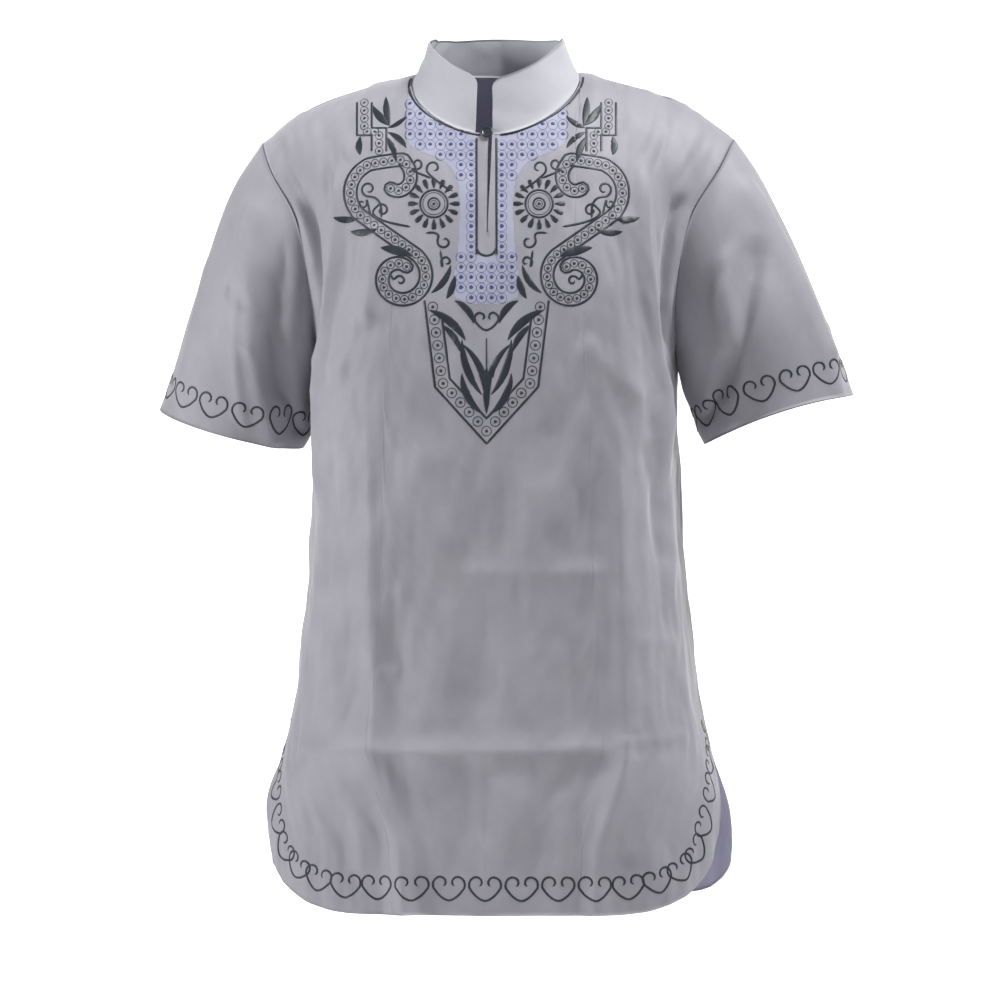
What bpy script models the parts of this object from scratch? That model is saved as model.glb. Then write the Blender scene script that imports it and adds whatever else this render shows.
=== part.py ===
"""A short-sleeved dashiki shirt, worn and hollow, as thin cloth walls.

Metres, +Z up, front facing -Y. The origin is between the shoulders, at the height of the neck's base,
where the wearer carries the shirt.
"""

import math
from collections import namedtuple

import bmesh
import bpy
from mathutils import Vector

# Cloth and seams
WALL = 0.0012
COLLAR_WALL = 0.0018
SEAM = 0.0004

# Heights
UNDERARM_Z = -0.250
VENT_TOP_Z = -0.605
HEM_Z = -0.772

# Widths
SHOULDER_HALF = 0.224
NECK_HALF = 0.0775
RIDGE_Y = 0.010

# Neckline
NECK_SIDE_Z = 0.0155
FRONT_NECK_Z = -0.049
BACK_NECK_Z = 0.017
NECK_SQUARENESS = 1.9

# Armhole
ARMHOLE_TOP_Z = -0.049
ARMHOLE_FRONT = 0.066
ARMHOLE_BACK = 0.062
UNDERARM_Y = 0.004
UNDERARM_DIP = 0.050

# Rounded lower corners and side vents
CORNER_START = 0.45
CORNER_RISE = 0.085
VENT_OPEN = {"front": 0.27, "back": 0.075}
VENT_SPREAD = 0.110

# Slit at the centre front
SLIT_END_Z = -0.147
SLIT_HALF_TOP = 0.0017
SLIT_HALF_END = 0.0006
SLIT_TAPER = 0.095

# Button and its loop
BUTTON_RADIUS = 0.0058
BUTTON_THICK = 0.0026
BUTTON_X = -0.003
BUTTON_Z = -0.0485
LOOP_THICK = 0.0011
LOOP_RADIUS = 0.00435
LOOP_OPENING = 30.0
LOOP_STEPS = 14

# Lengths over which folds are laid out: half the torso's girth at one panel, a sleeve's girth and length
HALF_ARC = 0.27
SLEEVE_GIRTH = 0.44
SLEEVE_LENGTH = 0.22
FOLD_FADE = 0.12
FOLD_FADE_TO_HEM = 0.25

# How the sleeve's start keeps clear of the panels, and how far its largest folds stay from the armhole
SLEEVE_CLEAR_POWER = 0.8
SLEEVE_FOLD_START = 0.15

# How the collar's face leans back with its height
COLLAR_LEAN_POWER = 0.8

# Grid steps
NECK_ANGLES = (0.0, 15.0, 30.0, 45.0, 60.0, 76.0, 90.0)
SHOULDER_STEPS = 9
SIDE_CROWDING = 0.10
UPPER_ROWS = 14
LOWER_ROWS = 14
SLEEVE_RINGS = 10
COLLAR_ROWS = 3
BUTTON_STOPS = 400
SLOPE_STEP = 0.002

Section = namedtuple("Section", "z half_width front back squareness")
SECTIONS = (
    Section(-0.780, 0.218, 0.144, 0.147, 2.5),
    Section(-0.722, 0.222, 0.143, 0.145, 2.5),
    Section(-0.681, 0.219, 0.142, 0.142, 2.5),
    Section(-0.629, 0.202, 0.139, 0.136, 2.6),
    Section(-0.567, 0.188, 0.136, 0.130, 2.7),
    Section(-0.454, 0.176, 0.134, 0.124, 2.9),
    Section(-0.342, 0.170, 0.136, 0.122, 3.1),
    Section(-0.250, 0.168, 0.136, 0.120, 3.2),
)

Ridge = namedtuple("Ridge", "x front_z back_z")
SHOULDER_RIDGE = (
    Ridge(0.0000, 0.0270, 0.0450),
    Ridge(0.0400, 0.0240, 0.0330),
    Ridge(NECK_HALF, NECK_SIDE_Z, NECK_SIDE_Z),
    Ridge(0.1330, 0.0005, 0.0005),
    Ridge(0.1750, -0.0145, -0.0145),
    Ridge(0.2020, -0.0320, -0.0320),
    Ridge(SHOULDER_HALF, ARMHOLE_TOP_Z, ARMHOLE_TOP_Z),
)

ArmholeWidth = namedtuple("ArmholeWidth", "z x")
ARMHOLE = (
    ArmholeWidth(UNDERARM_Z, 0.168),
    ArmholeWidth(-0.205, 0.170),
    ArmholeWidth(-0.160, 0.176),
    ArmholeWidth(-0.120, 0.187),
    ArmholeWidth(-0.080, 0.2105),
    ArmholeWidth(ARMHOLE_TOP_Z, SHOULDER_HALF),
)

Cuff = namedtuple("Cuff", "side outer_x outer_z inner_x inner_z half_depth front_drop bow")
CUFFS = (
    Cuff("left", 0.323, -0.302, 0.187, -0.339, 0.060, 0.009, 0.000),
    Cuff("right", 0.336, -0.291, 0.198, -0.336, 0.060, 0.001, 0.007),
)

Band = namedtuple("Band", "angle rise inward backward")
COLLAR = (
    Band(0.0, 0.053, 0.000, 0.003),
    Band(30.0, 0.056, 0.004, 0.010),
    Band(60.0, 0.052, 0.011, 0.014),
    Band(90.0, 0.035, 0.016, 0.008),
    Band(135.0, 0.034, 0.010, 0.000),
    Band(180.0, 0.036, 0.000, -0.006),
)
COLLAR_ENDS = (-0.0145, 0.0020)
COLLAR_CORNER = 0.012
COLLAR_IN = 0.0009
COLLAR_UP = 0.0004

# Largest folds of the panels. x and z are seen from the front; height is out of the cloth.
Fold = namedtuple("Fold", "panel x_top z_top x_end z_end half_width height")
FOLDS = (
    Fold("front", -0.158, -0.062, -0.163, -0.400, 0.013, 0.0055),
    Fold("front", 0.158, -0.062, 0.163, -0.380, 0.013, 0.0050),
    Fold("front", -0.176, -0.100, -0.167, -0.260, 0.012, -0.0090),
    Fold("front", 0.176, -0.100, 0.167, -0.250, 0.012, -0.0080),
    Fold("front", -0.117, -0.330, -0.103, -0.772, 0.012, 0.0045),
    Fold("front", -0.092, -0.420, -0.080, -0.772, 0.016, -0.0030),
    Fold("front", 0.128, -0.330, 0.138, -0.772, 0.012, 0.0040),
    Fold("front", 0.104, -0.480, 0.112, -0.772, 0.016, -0.0030),
    Fold("front", -0.040, -0.390, -0.048, -0.610, 0.014, 0.0020),
    Fold("front", -0.170, -0.624, 0.150, -0.622, 0.014, 0.0026),
    Fold("front", -0.125, -0.130, -0.122, -0.230, 0.014, 0.0030),
    Fold("front", 0.150, -0.300, 0.165, -0.520, 0.014, -0.0040),
    Fold("back", -0.130, -0.060, -0.118, -0.772, 0.016, 0.0050),
    Fold("back", 0.130, -0.060, 0.122, -0.772, 0.016, 0.0050),
    Fold("back", -0.055, -0.260, -0.070, -0.772, 0.020, -0.0040),
    Fold("back", 0.045, -0.240, 0.060, -0.772, 0.020, -0.0045),
    Fold("back", 0.000, -0.180, -0.004, -0.772, 0.018, 0.0040),
    Fold("back", -0.160, -0.620, 0.160, -0.624, 0.014, 0.0024),
)

# Largest folds of the sleeves. around is 0 at the top of the arm, 0.25 in front, 0.5 underneath.
SleeveFold = namedtuple("SleeveFold", "side around_top down_top around_end down_end half_width height")
SLEEVE_FOLDS = (
    SleeveFold("left", 0.13, 0.05, 0.36, 0.95, 0.012, 0.0050),
    SleeveFold("left", 0.22, 0.02, 0.42, 0.80, 0.014, -0.0060),
    SleeveFold("left", 0.16, 0.45, 0.27, 0.42, 0.010, -0.0035),
    SleeveFold("left", 0.80, 0.05, 0.66, 0.90, 0.016, -0.0055),
    SleeveFold("right", 0.10, 0.05, 0.10, 0.95, 0.012, 0.0045),
    SleeveFold("right", 0.13, 0.30, 0.40, 0.78, 0.013, -0.0060),
    SleeveFold("right", 0.24, 0.25, 0.34, 0.95, 0.012, 0.0040),
    SleeveFold("right", 0.80, 0.05, 0.68, 0.90, 0.016, -0.0055),
)

# Which way the sleeve leaves the armhole and reaches the cuff, over the arm, under it and beside it
Way = namedtuple("Way", "place direction")
SLEEVE_LEAVE = (
    Way("top", (0.58, 0.0, -0.81)),
    Way("under", (0.05, 0.0, -1.00)),
    Way("beside", (0.62, 0.0, -0.68)),
)
SLEEVE_ARRIVE = (
    Way("top", (0.35, 0.0, -0.94)),
    Way("under", (0.42, 0.0, -0.91)),
    Way("beside", (0.30, 0.0, -0.95)),
)
SLEEVE_BULGE = 0.40
SLEEVE_TUCK = 0.02

FACES = {"front": -1.0, "back": 1.0}
NECK_LOW_Z = {"front": FRONT_NECK_Z, "back": BACK_NECK_Z}


def smooth(rows, name, at):
    """A column of a table at a place between its rows, with soft bends. Rows rise in their first column."""
    keys = [row[0] for row in rows]
    values = [getattr(row, name) for row in rows]
    at = min(max(at, keys[0]), keys[-1])
    last = len(rows) - 1
    k = next(i for i in range(last) if at <= keys[i + 1])

    def slope(i):
        low, high = max(i - 1, 0), min(i + 1, last)
        return (values[high] - values[low]) / (keys[high] - keys[low])

    span = keys[k + 1] - keys[k]
    f = (at - keys[k]) / span
    return (
        (2 * f**3 - 3 * f**2 + 1) * values[k]
        + (f**3 - 2 * f**2 + f) * span * slope(k)
        + (3 * f**2 - 2 * f**3) * values[k + 1]
        + (f**3 - f**2) * span * slope(k + 1)
    )


def ease(value):
    value = min(max(value, 0.0), 1.0)
    return value * value * (3 - 2 * value)


def ring_point(panel, across, z):
    """A point of the torso below the underarm. across is 0 at the centre and 1 at the side seam."""
    width = smooth(SECTIONS, "half_width", z)
    depth = smooth(SECTIONS, panel, z)
    power = smooth(SECTIONS, "squareness", z)
    angle = across * math.pi / 2
    along, out = math.sin(angle), math.cos(angle)
    size = (abs(along) ** power + abs(out) ** power) ** (1 / power)
    return Vector((width * along / size, FACES[panel] * depth * out / size, z))


def across_at(x, z):
    """The across value of a point seen from the front at x."""
    z = min(z, UNDERARM_Z)
    power = smooth(SECTIONS, "squareness", z)
    share = min(abs(x) / smooth(SECTIONS, "half_width", z), 0.999)
    return math.copysign(math.atan2(share, (1 - share**power) ** (1 / power)) * 2 / math.pi, x)


def side_y(panel):
    return FACES[panel] * SEAM / 2


def ridge_point(panel, across):
    x = across * SHOULDER_HALF
    return Vector((x, RIDGE_Y + side_y(panel), smooth(SHOULDER_RIDGE, panel + "_z", x)))


def centre_point(panel, down):
    """The centre line from the shoulder line to the underarm line."""
    angle = down * math.pi / 2
    top = ridge_point(panel, 0.0)
    low = chest_point(panel, 0.0)
    power = 1.0 if panel == "front" else 0.87
    return Vector((
        0.0,
        top.y + (low.y - top.y) * math.sin(angle) ** power,
        top.z + (low.z - top.z) * (1 - max(math.cos(angle), 0.0) ** power),
    ))


def armhole_point(panel, down):
    """The armhole's edge from the shoulder's end to the underarm."""
    angle = down * math.pi
    swing = (1 - math.cos(angle)) / 2
    depth = ARMHOLE_FRONT if panel == "front" else ARMHOLE_BACK
    z = ARMHOLE_TOP_Z + (UNDERARM_Z - ARMHOLE_TOP_Z) * swing
    y = RIDGE_Y + (UNDERARM_Y - RIDGE_Y) * swing + FACES[panel] * depth * math.sin(angle)
    return Vector((smooth(ARMHOLE, "x", z), y + side_y(panel), z))


def chest_point(panel, across):
    """The line from the centre out to the underarm, which dips below it."""
    z = UNDERARM_Z - UNDERARM_DIP * math.sqrt(max(1 - across**2, 0.0))
    point = ring_point(panel, across, z)
    point.y += side_y(panel) + UNDERARM_Y * across**6
    return point


def upper_point(panel, across, down):
    """The panel above the underarm line, spanned between its four edges."""
    edge, fade = across, 1 - across
    top, rest = 1 - down, down
    return (
        ridge_point(panel, across) * top
        + chest_point(panel, across) * rest
        + centre_point(panel, down) * fade
        + armhole_point(panel, down) * edge
        - ridge_point(panel, 0.0) * (fade * top)
        - ridge_point(panel, 1.0) * (edge * top)
        - chest_point(panel, 0.0) * (fade * rest)
        - chest_point(panel, 1.0) * (edge * rest)
    )


def hem_z(across):
    """The hem's height, level in the middle and rounded up to the vents."""
    share = max(across - CORNER_START, 0.0) / (1 - CORNER_START)
    return HEM_Z + CORNER_RISE * (1 - math.sqrt(max(1 - share**2, 0.0)))


def lower_point(panel, across, down):
    """The panel from the underarm line to the hem, with its half of the vent cut away."""
    start = chest_point(panel, across)
    z = start.z + (hem_z(across) - start.z) * down
    opening = VENT_OPEN[panel] * ease((VENT_TOP_Z - z) / VENT_SPREAD)
    point = ring_point(panel, across * (1 - opening), z)
    point.y += side_y(panel) + UNDERARM_Y * across**6
    return point


def neck_cut(panel, across):
    """How far down a column starts: the neckline near the centre, the shoulder seam beyond it."""
    share = across * SHOULDER_HALF / NECK_HALF
    if share >= 1:
        return 0.0
    bow = (1 - share**NECK_SQUARENESS) ** (1 / NECK_SQUARENESS)
    wanted = NECK_SIDE_Z + (NECK_LOW_Z[panel] - NECK_SIDE_Z) * bow
    high, low = 0.0, 0.6
    for _ in range(30):
        middle = (high + low) / 2
        if upper_point(panel, across, middle).z > wanted:
            high = middle
        else:
            low = middle
    return high


def fold_height(panel, across, z):
    """How far the folds lift a point of the panel out of its plain form."""
    total = 0.0
    for fold in FOLDS:
        if fold.panel != panel or z > fold.z_top + 0.04:
            continue
        a = Vector((across_at(fold.x_top, fold.z_top) * HALF_ARC, fold.z_top))
        b = Vector((across_at(fold.x_end, fold.z_end) * HALF_ARC, fold.z_end))
        here = Vector((across * HALF_ARC, z))
        along = min(max((here - a).dot(b - a) / (b - a).length_squared, 0.0), 1.0)
        off = (here - a - (b - a) * along).length
        to_hem = fold.z_end <= HEM_Z
        rise = ease(along / (FOLD_FADE_TO_HEM if to_hem else FOLD_FADE))
        fall = 1.0 if to_hem else ease((1 - along) / FOLD_FADE)
        total += fold.height * rise * fall * math.exp(-((off / fold.half_width) ** 2))
    return total


def panel_column(panel, across):
    """One column of a panel from its top edge to its hem, for a signed across."""
    reach, sign = abs(across), math.copysign(1.0, across)
    start = neck_cut(panel, reach)
    plain = [
        upper_point(panel, reach, start + (1 - start) * i / UPPER_ROWS) for i in range(UPPER_ROWS)
    ]
    plain += [lower_point(panel, reach, i / LOWER_ROWS) for i in range(LOWER_ROWS + 1)]
    for point in plain:
        point.x *= sign
    return plain


def column_stops():
    neck_edge = NECK_HALF / SHOULDER_HALF
    stops = [neck_edge * math.sin(math.radians(angle)) for angle in NECK_ANGLES]
    for i in range(1, SHOULDER_STEPS + 1):
        share = i / SHOULDER_STEPS
        share += SIDE_CROWDING * math.sin(math.pi * share) * share
        stops.append(neck_edge + (1 - neck_edge) * share)
    return stops


def panel_grid(panel):
    """Rows of points from the left side to the right, with two columns beside the centre line."""
    stops = column_stops()
    signed = [-stop for stop in reversed(stops[1:])] + [-0.0, 0.0] + stops[1:]
    columns = [panel_column(panel, across) for across in signed]
    middle = len(stops) - 1
    rows = [list(points) for points in zip(*columns)]
    for row in rows:
        z = row[middle].z
        share = ease((z - SLIT_END_Z) / SLIT_TAPER)
        half = SLIT_HALF_END + (SLIT_HALF_TOP - SLIT_HALF_END) * share
        row[middle].x -= half
        row[middle + 1].x += half
    lift_folds(panel, rows, signed)
    return rows, middle


def lift_folds(panel, rows, signed):
    """Moves each inner point out along the cloth's normal by its fold's height."""
    plain = [[point.copy() for point in row] for row in rows]
    last_row, last_column = len(rows) - 1, len(rows[0]) - 1
    for i in range(1, last_row + 1):
        for j in range(1, last_column):
            height = fold_height(panel, signed[j], plain[i][j].z)
            side = plain[i][min(j + 1, last_column)] - plain[i][max(j - 1, 0)]
            down = plain[min(i + 1, last_row)][j] - plain[i - 1][j]
            normal = down.cross(side).normalized() * -FACES[panel]
            edge = min(1.0, (last_column - j) / 2, j / 2)
            rows[i][j] += normal * (height * edge)


def add_faces(bm, grid, closed=False, skip=lambda i, j: False):
    """A skin of quads over rows of points; closed joins each row's end to its start."""
    verts = [[bm.verts.new(point) for point in row] for row in grid]
    wide = len(verts[0])
    for i in range(len(verts) - 1):
        for j in range(wide if closed else wide - 1):
            if not skip(i, j):
                k = (j + 1) % wide
                bm.faces.new((verts[i][j], verts[i + 1][j], verts[i + 1][k], verts[i][k]))


def material(name, colour, roughness):
    made = bpy.data.materials.new(name)
    made.use_nodes = True
    shader = made.node_tree.nodes["Principled BSDF"]
    shader.inputs["Base Color"].default_value = (*colour, 1.0)
    shader.inputs["Roughness"].default_value = roughness
    shader.inputs["Metallic"].default_value = 0.0
    return made


def add_object(name, bm, finish, parts, middle=None):
    """Turns a skin outwards if it must be, and makes it an object with its material."""
    bm.normal_update()
    centre = middle if middle is not None else Vector((0.0, 0.0, UNDERARM_Z))
    turned = sum((f.calc_center_median() - centre).dot(f.normal) * f.calc_area() for f in bm.faces)
    if turned < 0:
        bmesh.ops.reverse_faces(bm, faces=bm.faces[:])
    mesh = bpy.data.meshes.new(name)
    bm.to_mesh(mesh)
    bm.free()
    mesh.shade_smooth()
    made = bpy.data.objects.new(name, mesh)
    made.data.materials.append(finish)
    parts.objects.link(made)
    return made


def thicken(made, thickness, outward=True):
    solid = made.modifiers.new("wall", "SOLIDIFY")
    solid.thickness = thickness
    solid.offset = 1.0 if outward else -1.0
    solid.use_even_offset = True
    solid.use_quality_normals = True


def make_panel(panel, finish, parts):
    rows, middle = panel_grid(panel)
    bm = bmesh.new()

    def in_slit(i, j):
        return panel == "front" and j == middle and rows[i + 1][j].z > SLIT_END_Z

    add_faces(bm, rows, skip=in_slit)
    if panel == "back":
        bmesh.ops.remove_doubles(bm, verts=bm.verts[:], dist=SLIT_HALF_END / 10)
    thicken(add_object(panel, bm, finish, parts), WALL)


def sleeve_fold_height(side, around, down):
    total = 0.0
    for fold in SLEEVE_FOLDS:
        if fold.side != side:
            continue
        a = Vector((fold.around_top * SLEEVE_GIRTH, fold.down_top * SLEEVE_LENGTH))
        b = Vector((fold.around_end * SLEEVE_GIRTH, fold.down_end * SLEEVE_LENGTH))
        here = Vector((around * SLEEVE_GIRTH, down * SLEEVE_LENGTH))
        along = min(max((here - a).dot(b - a) / (b - a).length_squared, 0.0), 1.0)
        off = (here - a - (b - a) * along).length
        total += fold.height * math.exp(-((off / fold.half_width) ** 2)) * ease(along / FOLD_FADE)
    return total * ease(down / SLEEVE_FOLD_START)


def sleeve_point(cuff, around, down):
    """A point of the sleeve's inner face: along an easy curve from the armhole to the cuff."""
    angle = around * 2 * math.pi
    panel, reach = ("front", around * 2) if around <= 0.5 else ("back", 2 - around * 2)
    start = armhole_point(panel, reach)
    start.x += SEAM + (2 * WALL + SEAM) * math.sin(angle / 2) ** (2 * SLEEVE_CLEAR_POWER)
    middle_x, middle_z = (cuff.outer_x + cuff.inner_x) / 2, (cuff.outer_z + cuff.inner_z) / 2
    half = Vector((cuff.outer_x - middle_x, 0.0, cuff.outer_z - middle_z))
    end = Vector((middle_x, UNDERARM_Y, middle_z)) + half * math.cos(angle)
    end.y -= cuff.half_depth * math.sin(angle)
    end.z += cuff.bow * math.sin(angle) ** 2 - cuff.front_drop * math.sin(angle)
    top, under = max(math.cos(angle), 0.0) ** 2, max(-math.cos(angle), 0.0) ** 2
    facing = math.sin(angle)
    leave, arrive = (
        sum((Vector(row.direction) * share for row, share in zip(rows, (top, under, facing**2))), Vector())
        for rows in (SLEEVE_LEAVE, SLEEVE_ARRIVE)
    )
    leave.y = -SLEEVE_BULGE * math.copysign(facing**2, facing)
    arrive.y = SLEEVE_TUCK * facing**3
    pull = (end - start).length
    f = down
    return (
        start * (2 * f**3 - 3 * f**2 + 1)
        + leave * (pull * (f**3 - 2 * f**2 + f))
        + end * (3 * f**2 - 2 * f**3)
        + arrive * (pull * (f**3 - f**2))
    )


def make_sleeve(cuff, finish, parts):
    sign = -1.0 if cuff.side == "left" else 1.0
    count = 2 * UPPER_ROWS
    step = SLOPE_STEP
    rows = []
    for i in range(SLEEVE_RINGS + 1):
        down = i / SLEEVE_RINGS
        row = []
        for j in range(count):
            around = j / count
            point = sleeve_point(cuff, around, down)
            low, high = max(down - step, 0.0), min(down + step, 1.0)
            ahead = sleeve_point(cuff, (around + step) % 1.0, down)
            behind = sleeve_point(cuff, (around - step) % 1.0, down)
            along = sleeve_point(cuff, around, high) - sleeve_point(cuff, around, low)
            normal = (ahead - behind).cross(along).normalized()
            point = point + normal * sleeve_fold_height(cuff.side, around, down)
            row.append(Vector((point.x * sign, point.y, point.z)))
        rows.append(row)
    bm = bmesh.new()
    add_faces(bm, rows, closed=True)
    ring_middle = sum((point for row in rows for point in row), Vector()) / (len(rows) * count)
    thicken(add_object("sleeve_" + cuff.side, bm, finish, parts, ring_middle), WALL)


def neck_point(turn):
    """A point of the neckline. turn is an angle from the centre front, 180 at the centre back."""
    turn = abs(turn)
    panel = "front" if turn <= 90 else "back"
    share = math.sin(math.radians(turn))
    across = share * NECK_HALF / SHOULDER_HALF
    return upper_point(panel, across, neck_cut(panel, across))


def collar_point(turn, up):
    """A point of the collar's outer face, at a signed angle and a height from 0 to 1."""
    base = neck_point(turn)
    inward = Vector((-base.x, -base.y, 0.0)).normalized()
    base += inward * COLLAR_IN + Vector((0.0, 0.0, COLLAR_UP))
    rise = smooth(COLLAR, "rise", abs(turn))
    into = smooth(COLLAR, "inward", abs(turn))
    back = smooth(COLLAR, "backward", abs(turn))
    lean = up**COLLAR_LEAN_POWER
    point = base + Vector((-into * lean, back * lean, rise * up))
    point.x = math.copysign(point.x, turn)
    return point


def collar_stops():
    """Angles round the neck from the left front end to the right one, the ends' corners rounded."""
    left, right = (math.degrees(math.asin(end / NECK_HALF)) for end in COLLAR_ENDS)
    side = list(NECK_ANGLES[2:]) + [180.0 - angle for angle in NECK_ANGLES[-2:0:-1]]
    return (
        [left, left - 2.0, left - 5.5]
        + [-turn for turn in side]
        + [180.0]
        + side[::-1]
        + [NECK_ANGLES[1], right + 5.5, right + 2.0, right]
    )


def make_collar(finish, parts):
    stops = collar_stops()
    drop_share = 0.75 / COLLAR[0].rise
    rows = []
    for i in range(COLLAR_ROWS + 1):
        row = []
        for turn in stops:
            from_end = math.radians(min(abs(turn - stops[0]), abs(turn - stops[-1]))) * NECK_HALF
            drop = 0.0
            if from_end < COLLAR_CORNER:
                drop = COLLAR_CORNER - math.sqrt(COLLAR_CORNER**2 - (COLLAR_CORNER - from_end) ** 2)
            top = 1 - drop * drop_share
            row.append(collar_point(turn, top * (1 - i / COLLAR_ROWS)))
        rows.append(row)
    bm = bmesh.new()
    add_faces(bm, rows)
    thicken(add_object("collar", bm, finish, parts, Vector((0.0, 0.0, 0.0))), COLLAR_WALL, outward=False)


def slit_top_frame():
    """Where the button lies: a point of the front's outer face beside the slit, and its normal."""
    def at(down):
        return upper_point("front", 0.0, down)

    stops = [k / BUTTON_STOPS for k in range(BUTTON_STOPS)]
    down = next(stop for stop in stops if at(stop).z < BUTTON_Z)
    slope = (at(down + SLOPE_STEP) - at(down - SLOPE_STEP)).normalized()
    normal = Vector((0.0, slope.z, -slope.y))
    return at(down) + normal * WALL, normal, slope


def make_button(finish, parts):
    """A flat round button with a rounded rim, just in front of the slit's top."""
    place, normal, _ = slit_top_frame()
    bm = bmesh.new()
    bmesh.ops.create_cone(
        bm, cap_ends=True, segments=20, radius1=BUTTON_RADIUS, radius2=BUTTON_RADIUS,
        depth=BUTTON_THICK,
    )
    made = add_object("button", bm, finish, parts, Vector((0.0, 0.0, 0.0)))
    out = normal.to_track_quat("Z", "Y")
    made.rotation_mode = "QUATERNION"
    made.rotation_quaternion = out
    made.location = place + normal * (BUTTON_THICK / 2 + LOOP_THICK + 2 * SEAM)
    made.location.x = BUTTON_X
    rim = made.modifiers.new("rim", "BEVEL")
    rim.width = BUTTON_THICK * 0.3
    rim.segments = 2
    rim.limit_method = "ANGLE"


def make_loop(finish, parts):
    """A thread loop lying on the cloth under the button, both ends at the slit's other side."""
    place, normal, slope = slit_top_frame()
    across = Vector((1.0, 0.0, 0.0))
    lift = normal * (LOOP_THICK / 2 + SEAM)
    curve = bpy.data.curves.new("button_loop", "CURVE")
    curve.dimensions = "3D"
    curve.bevel_depth = LOOP_THICK / 2
    curve.bevel_resolution = 2
    curve.use_fill_caps = True
    spline = curve.splines.new("POLY")
    spline.points.add(LOOP_STEPS)
    for i in range(LOOP_STEPS + 1):
        angle = math.radians((LOOP_OPENING - 180.0) * (1 - 2 * i / LOOP_STEPS))
        side = -math.cos(angle) * LOOP_RADIUS
        along = math.sin(angle) * LOOP_RADIUS
        point = place + across * (BUTTON_X + side) + slope * along + lift
        spline.points[i].co = (*point, 1.0)
    made = bpy.data.objects.new("button_loop", curve)
    curve.materials.append(finish)
    parts.objects.link(made)


def main():
    for old in list(bpy.data.objects):
        bpy.data.objects.remove(old, do_unlink=True)
    parts = bpy.data.collections.new("dashiki_shirt")
    bpy.context.scene.collection.children.link(parts)
    cloth = material("grey_cotton", (0.40, 0.39, 0.44), 0.62)
    band = material("collar_cotton", (0.57, 0.57, 0.63), 0.60)
    dark = material("dark_button", (0.03, 0.04, 0.05), 0.35)
    thread = material("loop_thread", (0.55, 0.56, 0.62), 0.70)
    make_panel("front", cloth, parts)
    make_panel("back", cloth, parts)
    for cuff in CUFFS:
        make_sleeve(cuff, cloth, parts)
    make_collar(band, parts)
    make_button(dark, parts)
    make_loop(thread, parts)


main()
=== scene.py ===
"""A short-sleeved embroidered dashiki shirt, worn and hollow, as seen in its photo.

Metres, +Z up, front facing -Y, origin where the wearer's shoulders carry the shirt.
"""

import functools
import math
from collections import namedtuple

import bpy
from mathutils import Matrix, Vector, noise
from mathutils.bvhtree import BVHTree


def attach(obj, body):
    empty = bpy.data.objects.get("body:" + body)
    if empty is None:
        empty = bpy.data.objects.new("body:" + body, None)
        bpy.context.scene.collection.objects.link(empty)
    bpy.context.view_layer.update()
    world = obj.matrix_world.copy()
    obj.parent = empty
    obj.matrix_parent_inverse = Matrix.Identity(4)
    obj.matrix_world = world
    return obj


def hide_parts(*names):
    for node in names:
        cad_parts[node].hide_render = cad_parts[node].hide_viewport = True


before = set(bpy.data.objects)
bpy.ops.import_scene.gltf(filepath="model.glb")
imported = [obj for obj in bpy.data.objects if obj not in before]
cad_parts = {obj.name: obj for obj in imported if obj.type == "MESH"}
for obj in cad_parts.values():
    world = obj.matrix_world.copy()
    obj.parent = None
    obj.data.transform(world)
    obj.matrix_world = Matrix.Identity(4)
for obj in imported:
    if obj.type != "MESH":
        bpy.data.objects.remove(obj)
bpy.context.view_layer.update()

# Cloth and seams
WALL = 0.0012
COLLAR_WALL = 0.0018
SEAM = 0.0004

# Heights
UNDERARM_Z = -0.250
VENT_TOP_Z = -0.605
HEM_Z = -0.772

# Widths
SHOULDER_HALF = 0.224
NECK_HALF = 0.0775
RIDGE_Y = 0.010

# Neckline
NECK_SIDE_Z = 0.0155
FRONT_NECK_Z = -0.049
BACK_NECK_Z = 0.017
NECK_SQUARENESS = 1.9

# Armhole
ARMHOLE_TOP_Z = -0.049
ARMHOLE_FRONT = 0.066
ARMHOLE_BACK = 0.062
UNDERARM_Y = 0.004
UNDERARM_DIP = 0.050

# Rounded lower corners and side vents
CORNER_START = 0.45
CORNER_RISE = 0.085
VENT_OPEN = {"front": 0.27, "back": 0.075}
VENT_SPREAD = 0.110

# Slit at the centre front
SLIT_END_Z = -0.147
SLIT_HALF_TOP = 0.0017
SLIT_HALF_END = 0.0006
SLIT_TAPER = 0.095

# Button and its loop
BUTTON_RADIUS = 0.0058
BUTTON_THICK = 0.0026
BUTTON_X = -0.003
BUTTON_Z = -0.0485
LOOP_THICK = 0.0011
LOOP_RADIUS = 0.00435
LOOP_OPENING = 30.0

# Lengths over which folds are laid out: half the torso's girth at one panel, a sleeve's girth and length
HALF_ARC = 0.27
SLEEVE_GIRTH = 0.44
SLEEVE_LENGTH = 0.22

# How far above its top a fold still counts, and the share of its length over which it fades
FOLD_ABOVE = 0.04
FOLD_FADE = 0.12
FOLD_FADE_TO_HEM = 0.25

# How the centre line bends from the neck to the chest, how near the side a place seen from the front may
# lie, and the reach and steps of the search for the neckline on a column
CENTRE_POWER = {"front": 1.0, "back": 0.87}
WIDEST_SHARE = 0.999
NECK_SEARCH = 0.6
NECK_HALVINGS = 30

# How the sleeve's start keeps clear of the panels, and how far its largest folds stay from the armhole
SLEEVE_CLEAR_POWER = 0.8
SLEEVE_FOLD_START = 0.15

# How the collar's face leans back with its height
COLLAR_LEAN_POWER = 0.8

# Grid steps of the cloth shells
NECK_STEPS = 34
NECK_LAST_STEP = 78.0
ROWS_LEVEL_FROM = 0.62
SHOULDER_STEPS = 66
UPPER_ROWS = 84
LOWER_ROWS = 126
SLEEVE_RINGS = 64
SLEEVE_COLUMNS = 140
COLLAR_ROWS = 16
COLLAR_STEP = 2.5
BUTTON_STOPS = 400
SLOPE_STEP = 0.002

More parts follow.
